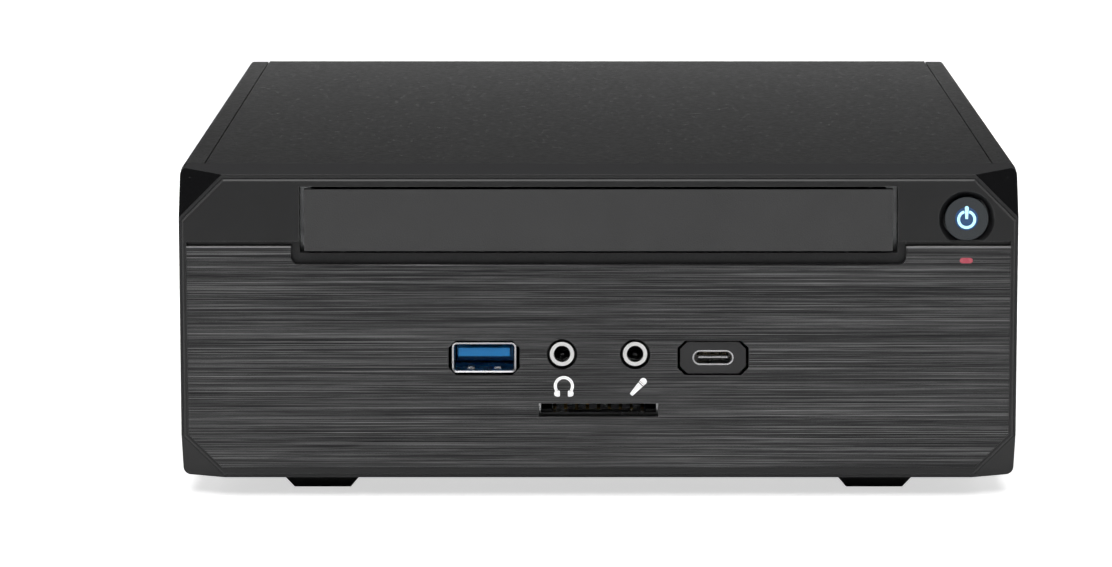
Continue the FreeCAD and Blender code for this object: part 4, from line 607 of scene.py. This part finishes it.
def microphone_symbol():
    turn = Matrix.Rotation(math.radians(-42), 4, "Z")
    place = on_front(JACK_X + 0.6 * MM, JACK_Z - 7.3 * MM, FACE_Y) @ turn
    shape = Builder()
    shape.prism(arc((0, 1.75 * MM), 0.78 * MM, -25, 205, 20), 0, PRINT, place)
    shape.prism(mm([(-0.72, 1.32), (0.72, 1.32), (0.66, 1.05), (-0.66, 1.05)]),
                0, PRINT, place)
    handle = mm([(-0.66, 0.85), (0.66, 0.85), (0.38, -2.2), (-0.38, -2.2)])
    shape.prism(handle, 0, PRINT, place)
    shape.piece("microphone_symbol", "print_painted_glow", slot="brushed_face")


power_symbol()
headphone_symbol()
microphone_symbol()


# ---------------- connectors' inner details
def usb_a_rim():
    """The front socket's thin shell, with a rolled lip and rounded corners."""
    low, high = span("usb_a_shell")
    centre = (low + high) / 2
    place = on_front(centre.x, centre.z, low.y)
    shape = Builder()
    layers = [(6.95, 3.3, 1.0, 0.15), (7.05, 3.4, 1.05, 0.0), (7.0, 3.35, 1.0, -0.12),
              (6.75, 3.1, 0.8, -0.5), (6.75, 3.1, 0.8, -17.0), (6.45, 2.8, 0.55, -17.0),
              (6.45, 2.8, 0.55, -0.5), (6.6, 2.95, 0.7, 0.0)]
    rings = []
    for half_width, half_height, corner, along in layers:
        ring = []
        for x, y, start in ((1, 1, 0), (-1, 1, 90), (-1, -1, 180), (1, -1, 270)):
            ring += arc((x * (half_width - corner), y * (half_height - corner)), corner, start, start + 90, 6)
        rings.append([shape.mesh.verts.new(place @ Vector((x * MM, y * MM, (along - 0.15) * MM)))
                      for x, y in ring])
    for a, b in zip(rings, rings[1:] + rings[:1]):
        for i in range(len(a)):
            j = (i + 1) % len(a)
            shape.mesh.faces.new((a[i], a[j], b[j], b[i]))
    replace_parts(shape.piece("usb_a_rim", "tin"), "usb_a_shell")


def usb_a_details():
    """Springs pressed out of the shell and contacts under the tongue."""
    low, high = span("usb_a_shell")
    middle = (low.x + high.x) / 2
    springs = Builder()
    for side in (-1, 1):
        x = middle + side * 2.9 * MM
        springs.prism(mm([(-0.8, 0), (-0.6, 0.4), (0.6, 0.4), (0.8, 0)]),
                      -5.2 * MM, -2.4 * MM, on_front(x, low.z + 0.65 * MM, low.y))
    springs.piece("usb_a_springs", "tin")
    tongue_low, tongue_high = span("usb_a_insert")
    contacts = Builder()
    for x in row(middle, 5, 2.2 * MM):
        contacts.bar(x, 0.45 * MM, (tongue_low.y + 0.5 * MM, tongue_low.z + 2.62 * MM),
                     (tongue_low.y + 7 * MM, tongue_low.z + 2.9 * MM), 0.05 * MM)
    contacts.piece("usb_a_contacts", "gold")


def usb_c_details():
    low, high = span("usb_c_tongue")
    middle = (low.x + high.x) / 2
    contacts = Builder()
    for x in row(middle, 12, 0.5 * MM):
        contacts.bar(x, 0.14 * MM, (low.y + 0.5 * MM, low.z - 0.03 * MM),
                     (low.y + 4 * MM, high.z + 0.03 * MM))
    contacts.piece("usb_c_contacts", "gold")
    plate = Builder()
    plate.box((low.x + 0.15 * MM, low.y - 0.05 * MM, low.z + 0.2 * MM),
              (high.x - 0.15 * MM, low.y + 0.1 * MM, high.z - 0.2 * MM), 0.04 * MM)
    plate.piece("usb_c_tongue_edge", "tin")


def card_slot_details():
    """The reader's row of spring contacts and its dark guide rails, seen through the slot."""
    low, high = span("card_reader")
    middle = (low.x + high.x) / 2
    level = 19.4 * MM
    springs = Builder()
    for x in row(middle, 9, 2.4 * MM):
        springs.prism(mm([(0, -0.9), (0, -0.75), (3.4, -0.25), (4.0, -0.65), (4.0, -0.8), (3.4, -0.42)]),
                      x - 0.35 * MM, x + 0.35 * MM,
                      from_the_side(low.y + 2.2 * MM, level))
    springs.piece("card_contacts", "gold")
    rails = Builder()
    for side in (-1, 1):
        x = middle + side * 11.4 * MM
        rails.bar(x, 1.2 * MM, (low.y + 0.1 * MM, level - 1.25 * MM), (low.y + 24 * MM, level - 0.5 * MM),
                  0.1 * MM)
    rails.bar(middle, 6.5 * MM, (low.y + 0.1 * MM, level - 1.25 * MM), (low.y + 1.8 * MM, level - 0.95 * MM),
              0.05 * MM)
    rails.piece("card_rails", "black")


def jack_details():
    """The contact spring inside each headset jack, and the coloured rims of the three rear ones."""
    springs = Builder()
    for side in (-1, 1):
        x = side * JACK_X
        springs.bar(x, 0.5 * MM, (FACE_Y + 5 * MM, JACK_Z + 1.1 * MM), (FACE_Y + 9 * MM, JACK_Z + 1.7 * MM),
                    0.12 * MM)
        springs.bar(x, 0.5 * MM, (FACE_Y + 8 * MM, JACK_Z - 1.7 * MM), (FACE_Y + 11 * MM, JACK_Z - 1.2 * MM),
                    0.12 * MM)
    springs.piece("jack_springs", "tin", slot="jack_metal")
    names = ("line_in", "line_out", "microphone")
    for name, tint, body in zip(names, ("jack_blue", "jack_green", "jack_pink"), islands("rear_audio_jacks")):
        low, high = box_of(body)
        centre = Vector(((low.x + high.x) / 2, high.y - 0.6 * MM, BOARD_TOP + 6 * MM))
        ring = [(1.85, 0.2), (1.85, 0.62), (2.0, 0.78), (2.75, 0.78), (2.95, 0.6), (2.95, 0.2)]
        shape = Builder()
        shape.tube(centre, "y", mm(ring))
        shape.piece("rear_jack_ring_" + name, tint, slot="connector_black")


def network_details():
    low, high = span("network_jack")
    middle = (low.x + high.x) / 2
    pins = Builder()
    for x in row(middle, 8, 1.02 * MM):
        pins.prism(mm([(0, 0), (0, -0.3), (-7.5, -3.0), (-8.0, -2.9), (-7.5, -2.6)]),
                   x - 0.2 * MM, x + 0.2 * MM, from_the_side(high.y - 2 * MM, BOARD_TOP + 9.9 * MM))
    pins.piece("network_pins", "gold")
    for side, finish, name in ((-1, "jack_green", "network_light_link"),
                               (1, "wire_yellow", "network_light_traffic")):
        x = middle + side * 5.6 * MM
        lamp = Builder()
        lamp.bar(x, 1.5 * MM, (high.y - 0.4 * MM, high.z - 2.2 * MM), (high.y + 0.15 * MM, high.z - 0.7 * MM),
                 0.12 * MM)
        lamp.piece(name, finish, slot="lens_red")


def display_details():
    tongues = Builder()
    edges = Builder()
    for body in islands("display_ports"):
        low, high = box_of(body)
        x, z = (low.x + high.x) / 2, (low.z + high.z) / 2
        tongues.bar(x, 5.6 * MM, (low.y + 3 * MM, z - 0.2 * MM), (high.y - 1.2 * MM, z + 0.9 * MM), 0.1 * MM)
        for at in row(x, 10, 1 * MM):
            edges.bar(at, 0.2 * MM, (low.y + 4 * MM, z - 0.3 * MM), (high.y - 1.5 * MM, z + 1.0 * MM))
    tongues.piece("display_tongues", "black")
    edges.piece("display_contacts", "gold")


# ---------------- screws and the main board
def pan_head_screws():
    """Pan-head machine screws with cross recesses and threads."""
    head, height, shank = 2.7 * MM, 1.4 * MM, 1.3 * MM
    shape = Builder()
    for points in islands("case_screws"):
        low, high = box_of(points)
        size = high - low
        along = max(range(3), key=lambda k: abs(size[k] - 2 * head))
        axis = Vector((0, 0, 0))
        axis[along] = 1
        centre = (low + high) / 2
        wide = [p[along] for p in points if (p - centre).cross(axis).length > 2 * MM]
        at_high = abs(max(wide) - high[along]) < 1e-5
        sign = 1 if at_high else -1
        seat = centre.copy()
        seat[along] = (high if at_high else low)[along] - sign * height
        length = size[along] - height
        pitch = 0.5 * MM
        profile = [(0, -length)]
        for turn in range(int(length / pitch)):
            profile += [(shank * 0.86, -length + turn * pitch),
                        (shank * 0.99, -length + (turn + 0.5) * pitch)]
        profile += [(shank * 0.86, 0), (head, 0), (head, 0.3 * MM), (head * 0.95, 0.8 * MM),
                    (head * 0.82, 1.18 * MM), (head * 0.62, 1.34 * MM)]
        shape.lathe(seat, "xyz"[along], [(r, sign * a) for r, a in profile], 24, capped=False)
        shape.recess(seat, "xyz"[along], sign, head * 0.62, 1.34 * MM, 24)
    made = shape.piece("pan_head_screws", "screw", slot="screw_steel")
    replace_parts(made, "case_screws")


def electrolytics():
    """Aluminium cans with a crimped foot, a top scored with thin dark strips of painted groove shade, and a
    dark polarity mark.
    """
    cans, feet, marks = Builder(), Builder(), Builder()
    for points in islands("capacitors"):
        low, high = box_of(points)
        radius = (high.x - low.x) / 2
        centre = Vector(((low.x + high.x) / 2, (low.y + high.y) / 2, low.z))
        height = high.z - low.z
        feet.box((low.x, low.y, low.z), (high.x, high.y, low.z + 0.9 * MM), 0.25 * MM)
        profile = [(radius * 0.9, 0.9 * MM), (radius, 1.1 * MM), (radius, 1.7 * MM),
                   (radius * 0.93, 2.0 * MM), (radius, 2.4 * MM), (radius, height - 0.5 * MM),
                   (radius * 0.93, height - 0.12 * MM), (radius * 0.84, height - 0.02 * MM),
                   (radius * 0.80, height - 0.10 * MM), (0, height - 0.10 * MM)]
        cans.lathe(centre, "z", profile, 32)
        top = Matrix.Translation(centre)
        marks.prism(arc((0, 0), radius * 0.78, 140, 220, 12), height - 0.10 * MM, height - 0.06 * MM, top)
        # painted shade: the vent scores are thin dark strips standing in for the shade in their grooves
        for angle in (0, 60, 120):
            turned = top @ Matrix.Rotation(math.radians(angle), 4, "Z")
            marks.prism([(-radius * 0.6, -0.06 * MM), (radius * 0.6, -0.06 * MM), (radius * 0.6, 0.06 * MM),
                         (-radius * 0.6, 0.06 * MM)], height - 0.10 * MM, height - 0.085 * MM, turned)
    made = cans.piece("capacitor_cans", "chrome", slot="can_metal")
    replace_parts(made, "capacitors")
    feet.piece("capacitor_feet", "black")
    marks.piece("capacitor_marks", "dark", slot="connector_black")


STANDING = ["cpu_socket", "memory_slots", "chipset_heatsink", "regulator_heatsink", "capacitors", "inductors",
            "sata_sockets", "pin_headers", "rear_usb_shells", "display_ports", "network_jack",
            "rear_audio_jacks", "board_power_socket"]
taken = [box_of(points) for node in STANDING for points in islands(node)]
taken += [box_of(points) for points in islands("case_screws")]


def free(low, high, spare=0.35 * MM):
    """Whether a footprint on the main board is clear of everything placed so far."""
    for a, b in taken:
        if a.z > BOARD_TOP + 9 * MM or b.z < BOARD_TOP:
            continue
        if low[0] - spare < b.x and high[0] + spare > a.x and low[1] - spare < b.y and high[1] + spare > a.y:
            return False
    return True


def claim(x, y, width, depth, height=1 * MM):
    taken.append((Vector((x - width / 2, y - depth / 2, BOARD_TOP)),
                  Vector((x + width / 2, y + depth / 2, BOARD_TOP + height))))


def expansion_slot():
    """The long card slot along the board's left edge, with its rows of contacts."""
    x, front, back = -79.6 * MM, -50 * MM, 39 * MM
    base = BOARD_TOP
    body, pins = Builder(), Builder()
    half, wall, top = 3.6 * MM, 1.5 * MM, base + 11 * MM
    for side in (-1, 1):
        inner, outer = sorted((x + side * (half - wall), x + side * half))
        body.box((inner, front, base), (outer, back, top), 0.2 * MM)
    body.bar(x, half, (front, base), (back, base + 2.5 * MM), 0.2 * MM)
    for y in (front, back - 3 * MM, back - 16 * MM):
        body.bar(x, half, (y, base), (y + 3 * MM, top), 0.2 * MM)
    steps = int((back - front - 8 * MM) / MM)
    for step in range(steps):
        y = front + 4 * MM + step * MM
        if back - 17 * MM < y < back - 12.5 * MM:
            continue
        for side in (-1, 1):
            at = x + side * (half - wall - 0.15 * MM)
            pins.bar(at, 0.18 * MM, (y, base + 2.5 * MM), (y + 0.45 * MM, top - 1.2 * MM))
    body.piece("expansion_slot", "black")
    pins.piece("expansion_contacts", "gold", slot="gold")
    claim(x, (front + back) / 2, 2 * half, back - front, 11 * MM)


def coin_cell():
    x, y = -22 * MM, -13 * MM
    holder, cell = Builder(), Builder()
    centre = Vector((x, y, BOARD_TOP))
    holder.lathe(centre, "z", mm([(0, 0), (11.4, 0), (11.4, 2.2), (11.0, 2.5), (10.5, 2.5), (10.5, 1.0),
                                  (0, 1.0)]), 48)
    holder.bar(x, 2.5 * MM, (y + 10 * MM, BOARD_TOP), (y + 12.4 * MM, BOARD_TOP + 5 * MM), 0.3 * MM)
    cell.lathe(centre, "z", mm([(0, 1.0), (8.2, 1.0), (8.6, 1.3), (9.9, 1.5), (10.0, 3.8), (9.7, 4.1),
                                (0, 4.15)]), 48)
    holder.piece("coin_cell_holder", "black")
    cell.piece("coin_cell", "chrome", slot="screw_steel")
    claim(x, y, 24 * MM, 25 * MM, 5 * MM)


def storage_card():
    """A small storage card lying over the board on its socket and post."""
    x0, x1, y0, y1 = -4 * MM, 38 * MM, -27 * MM, -5 * MM
    level = BOARD_TOP + 3.2 * MM
    card, chips, socket, ring = Builder(), Builder(), Builder(), Builder()
    card.box((x0, y0, level), (x1, y1, level + 0.8 * MM), 0.05 * MM)
    for at, width in ((6, 11), (20, 12), (32.5, 7)):
        chips.box((x0 + at * MM - width / 2 * MM, y0 + 4 * MM, level + 0.75 * MM),
                  (x0 + at * MM + width / 2 * MM, y1 - 4 * MM, level + 1.9 * MM), 0.12 * MM)
    socket.box((x1 - 2.5 * MM, y0 - 0.5 * MM, BOARD_TOP), (x1 + 3.5 * MM, y1 + 0.5 * MM, level + 1.3 * MM),
               0.25 * MM)
    post = Vector((x0 + 0.6 * MM, (y0 + y1) / 2, BOARD_TOP))
    ring.lathe(post, "z", mm([(0, 0), (2.1, 0), (2.1, 3.2), (2.1, 4.0), (2.7, 4.1), (2.7, 4.7), (2.2, 5.0),
                              (0, 5.0)]), 24)
    card.piece("storage_card", "green", slot="board_green")
    chips.piece("storage_chips", "chip")
    socket.piece("storage_socket", "black")
    ring.piece("storage_post", "screw", slot="screw_steel")
    claim((x0 + x1) / 2, (y0 + y1) / 2, x1 - x0 + 8 * MM, y1 - y0 + 2 * MM, 5 * MM)


def scattered_parts():
    """Chips with legs, resistors, capacitors and crystals wherever the board is free."""
    bodies, legs, tan, ends, cases = Builder(), Builder(), Builder(), Builder(), Builder()
    kinds = [("square", 9, 9, 1.2, 7), ("wide", 8, 5, 1.3, 16), ("small", 3.6, 2.4, 1.1, 30),
             ("crystal", 5, 3.2, 1.2, 5), ("ceramic", 1.7, 0.95, 0.9, 200), ("resistor", 1.7, 0.95, 0.45,
                                                                             210)]
    for kind, width, depth, height, count in kinds:
        for _ in range(count * 6):
            if count == 0:
                break
            w, h = (width, depth) if chance.random() < 0.5 else (depth, width)
            x = chance.uniform(board_low.x + 3 * MM, board_high.x - 3 * MM)
            y = chance.uniform(board_low.y + 3 * MM, board_high.y - 14 * MM)
            low, high = (x - w / 2 * MM, y - h / 2 * MM), (x + w / 2 * MM, y + h / 2 * MM)
            if not free(low, high, 0.5 * MM):
                continue
            count -= 1
            claim(x, y, w * MM, h * MM)
            top = BOARD_TOP + height * MM
            if kind in ("ceramic", "resistor"):
                inner = 0.42 * max(w, h) * MM
                flat = w > h
                body = tan if kind == "ceramic" else bodies
                dx, dy = (inner / 2, h / 2 * MM) if flat else (w / 2 * MM, inner / 2)
                body.bar(x, dx, (y - dy, BOARD_TOP), (y + dy, top))
                ends.box((low[0], low[1], BOARD_TOP), (high[0], high[1], top - 0.03 * MM))
            elif kind == "crystal":
                cases.box((low[0], low[1], BOARD_TOP), (high[0], high[1], top), 0.35 * MM)
            else:
                inset = 0.7 * MM
                sides = ("x", "y") if kind == "square" else (("x",) if w < h else ("y",))
                bodies.box((low[0] + inset, low[1] + inset, BOARD_TOP + 0.12 * MM),
                           (high[0] - inset, high[1] - inset, top), 0.1 * MM)
                for side in sides:
                    run = (high[1] - low[1] if side == "x" else high[0] - low[0]) - 2.6 * inset
                    number = max(2, int(run / (0.95 * MM)))
                    for step in range(number):
                        along = (step - (number - 1) / 2) * run / number
                        for end in (-1, 1):
                            out, thick = inset / 2, 0.17 * MM
                            if side == "x":
                                at, half = (x + end * (w / 2 * MM - out), y + along), (out, thick)
                            else:
                                at, half = (x + along, y + end * (h / 2 * MM - out)), (thick, out)
                            legs.bar(at[0], half[0], (at[1] - half[1], BOARD_TOP),
                                     (at[1] + half[1], BOARD_TOP + 0.35 * MM))
    bodies.piece("board_chips", "chip")
    legs.piece("board_chip_legs", "tin")
    tan.piece("board_ceramics", "ceramic")
    ends.piece("board_solder_ends", "tin")
    cases.piece("board_crystals", "tin")


def memory_details():
    """Chips, small parts and latches of the two memory modules."""
    chips, small, latches = Builder(), Builder(), Builder()
    for points in islands("memory_modules"):
        low, high = box_of(points)
        face = high.y - 1.0 * MM
        for spot in (-56, -40, -24, -8, 8, 24, 40, 56):
            x = spot * MM
            chips.bar(x, 4.6 * MM, (face - 0.3 * MM, BOARD_TOP + 14.4 * MM),
                      (high.y + 0.06 * MM, BOARD_TOP + 25.6 * MM), 0.1 * MM)
            for step in range(6):
                at = x - 5 * MM + step * 2 * MM
                for level in (10.2, 28.4):
                    small.box((at - 0.5 * MM, low.y - 0.3 * MM, BOARD_TOP + level * MM),
                              (at + 0.5 * MM, low.y + 0.1 * MM, BOARD_TOP + (level + 0.55) * MM))
        for side in (-1, 1):
            x = side * 68.6 * MM
            y = (low.y + face) / 2
            outline = [(-1.6, 6.5), (1.6, 6.5), (1.8, 20.5), (0.9, 22.5), (-1.9, 22.5), (-1.9, 20.8),
                       (-0.6, 19.0)]
            place = Matrix(((side, 0, 0, x), (0, 0, 1, y), (0, 1, 0, BOARD_TOP), (0, 0, 0, 1)))
            latches.prism(mm(outline), -2.4 * MM, 2.4 * MM, place)
    chips.piece("memory_chips", "chip")
    small.piece("memory_small_parts", "ceramic")
    latches.piece("memory_latches", "ivory", slot="connector_black")


def fan_details():
    low, high = span("cpu_fan_rotor")
    centre = Vector(((low.x + high.x) / 2, (low.y + high.y) / 2, high.z))
    cap = Builder()
    cap.lathe(centre, "z", mm([(13.2, -0.4), (13.2, 0.05), (12.6, 0.2), (12.0, 0.05), (0, 0.05)]), 64)
    cap.piece("fan_hub_disc", "drive", "fan", slot="fan_plastic")


# ---------------- leads
def wires(node, name, route, radius, around, finishes):
    """Wires that stand for a CAD node: they run along one route and twist slowly about each other."""
    points = [Vector(p) * MM for p in route]
    normal = Vector((0.31, 0.17, 0.94))
    frames = []
    for i, point in enumerate(points):
        ahead = (points[min(i + 1, len(points) - 1)] - points[max(i - 1, 0)]).normalized()
        normal = (normal - ahead * normal.dot(ahead)).normalized()
        frames.append((point, normal.copy(), ahead.cross(normal)))
    for index, finish in enumerate(finishes):
        data = bpy.data.curves.new(f"{name}_{index}", "CURVE")
        data.dimensions = "3D"
        data.bevel_depth = radius * MM
        data.bevel_resolution = 3
        data.resolution_u = 10
        spline = data.splines.new("NURBS")
        spline.points.add(len(points) - 1)
        for i, (point, side, up) in enumerate(frames):
            angle = 2 * math.pi * index / len(finishes) + 0.55 * i
            at = point + (side * math.cos(angle) + up * math.sin(angle)) * around * MM
            spline.points[i].co = (*at, 1.0)
        spline.order_u = 3
        spline.use_endpoint_u = True
        data.materials.append(FINISHES[finish].material)
        wire = bpy.data.objects.new(f"{name}_{index}", data)
        scene.collection.objects.link(wire)
        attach(wire, "chassis")
        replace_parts(wire, node)


def leads():
    top = BOARD_TOP / MM
    card = -56.2
    inlet = [(-74, 92.4, 61), (-74, 70.4, 61), (-75, 42.4, top + 36), (-74, 10.4, top + 27),
             (-73, card + 44, top + 25), (-74, card + 20, top + 28), (-74, card, top + 28)]
    drive = [(-24, card, top + 34), (-24, card + 8, top + 34), (-46, card + 27, 50.95), (-47, 6.55, 50.95),
             (-42, 13.55, 57.15), (-8, 14.55, 57.15), (-8, 0.55, 57.15)]
    wires("power_leads", "inlet_lead", inlet, 0.75, 0.8, ["wire_yellow", "wire_black"])
    wires("power_leads", "drive_lead", drive, 0.5, 0.68,
          ["wire_yellow", "wire_red", "wire_black", "wire_black"])
    usb = [(36, -84, 28), (36, -84, 36), (36, -71.5, 40), (36, -59, 35), (36, -59, top + 9)]
    panel = [(79.7, -95.1, 51.3), (79.7, -86.1, 51.3), (70, -69, top + 26), (64, -60, top + 19),
             (64, -60, top + 8)]
    fan_lead = [(40, 18, 45.05), (48, 18, 45.05), (54, 18, top + 18), (54, 18, top + 7.6)]
    sata = [(20, 0.55, 57.15), (20, 9.55, 57.15), (52, 12.55, 55.15), (74, -9, top + 29), (74, -25, top + 22),
            (74, -25, top + 8.4)]
    wires("signal_leads", "usb_lead", usb, 0.95, 0.72, ["wire_black", "wire_black"])
    wires("signal_leads", "panel_lead", panel, 0.5, 0.62,
          ["wire_white", "wire_blue", "wire_red", "wire_black"])
    wires("signal_leads", "fan_lead", fan_lead, 0.5, 0.62,
          ["wire_black", "wire_yellow", "wire_white", "wire_blue"])
    wires("signal_leads", "sata_lead", sata, 0.62, 0.58, ["wire_red", "wire_red"])


DETAILS = [usb_a_rim, usb_a_details, usb_c_details, card_slot_details, jack_details, network_details,
           display_details, pan_head_screws, electrolytics, expansion_slot, coin_cell, storage_card,
           scattered_parts, memory_details, fan_details, leads]
for detail in DETAILS:
    detail()


# ---------------- stage: floor, lamps, world and camera
def floor():
    data = bpy.data.meshes.new("floor")
    reach = 9.0
    data.from_pydata([(-reach, -reach, 0), (reach, -reach, 0), (reach, reach, 0), (-reach, reach, 0)], [],
                     [(0, 1, 2, 3)])
    made = bpy.data.objects.new("floor", data)
    scene.collection.objects.link(made)
    material = bpy.data.materials.new("floor_white")
    material.use_nodes = True
    tree = material.node_tree
    new, link = tree.nodes.new, tree.links.new
    shader = tree.nodes["Principled BSDF"]
    shader.inputs["Base Color"].default_value = (0.86, 0.86, 0.86, 1)
    shader.inputs["Roughness"].default_value = 0.7
    shader.inputs["Specular IOR Level"].default_value = 0.1
    rays = new("ShaderNodeLightPath")
    seen = new("ShaderNodeMath")
    seen.operation = "MAXIMUM"
    link(rays.outputs["Is Camera Ray"], seen.inputs[0])
    link(rays.outputs["Is Transmission Ray"], seen.inputs[1])
    glow = new("ShaderNodeMath")
    glow.operation = "MULTIPLY"
    glow.inputs[1].default_value = 0.62
    link(seen.outputs[0], glow.inputs[0])
    shader.inputs["Emission Color"].default_value = (1, 1, 1, 1)
    link(glow.outputs[0], shader.inputs["Emission Strength"])
    data.materials.append(material)


def softbox(name, at, towards, size, power):
    data = bpy.data.lights.new(name, "AREA")
    data.shape = "RECTANGLE"
    data.size, data.size_y = size
    data.energy = power
    made = bpy.data.objects.new(name, data)
    made.location = at
    made.rotation_euler = (Vector(towards) - Vector(at)).to_track_quat("-Z", "Y").to_euler()
    made.visible_camera = False
    scene.collection.objects.link(made)


def world():
    made = bpy.data.worlds.new("studio")
    scene.world = made
    made.use_nodes = True
    tree = made.node_tree
    new, link = tree.nodes.new, tree.links.new
    background = tree.nodes["Background"]
    where = new("ShaderNodeTexCoord")
    split = new("ShaderNodeSeparateXYZ")
    link(where.outputs["Generated"], split.inputs[0])
    height = new("ShaderNodeValToRGB")
    ramp = height.color_ramp
    ramp.elements[0].position, ramp.elements[0].color = 0.0, (0.01, 0.01, 0.01, 1)
    ramp.elements[1].position, ramp.elements[1].color = 1.0, (0.55, 0.55, 0.55, 1)
    for position, level in ((0.05, 0.02), (0.35, 0.05), (0.65, 0.12)):
        ramp.elements.new(position).color = (level, level, level, 1)
    link(split.outputs["Z"], height.inputs[0])
    rays = new("ShaderNodeLightPath")
    mix = new("ShaderNodeMix")
    mix.data_type = "RGBA"
    link(rays.outputs["Is Camera Ray"], mix.inputs[0])
    link(height.outputs[0], mix.inputs[6])
    mix.inputs[7].default_value = (1, 1, 1, 1)
    link(mix.outputs[2], background.inputs["Color"])


def camera():
    data = bpy.data.cameras.new("camera")
    data.sensor_width = 36.0
    data.lens = 154.3
    data.shift_x = -0.030
    made = bpy.data.objects.new("camera", data)
    scene.collection.objects.link(made)
    made.location = (-2.0 * MM, FACE_Y - 1.022, 0.2033)
    made.rotation_euler = (math.radians(90 - 8.68), 0, 0)
    data.clip_start, data.clip_end = 0.05, 50
    scene.camera = made


floor()
softbox("overhead", (0.0, -0.1, 1.5), (0, 0, 0), (1.5, 1.0), 12)
softbox("front", (0.0, -1.25, 1.35), (0, 0, 0.03), (1.8, 0.8), 14)
softbox("left_side", (-1.7, 0.2, 0.7), (0, 0, 0.04), (0.8, 1.0), 8)
softbox("right_side", (1.7, 0.2, 0.7), (0, 0, 0.04), (0.8, 1.0), 8)
softbox("behind", (0.0, 0.33, 0.095), (0, 0.0, 0.09), (0.3, 0.03), 0.017)
world()
camera()
scene.view_settings.view_transform = "Standard"
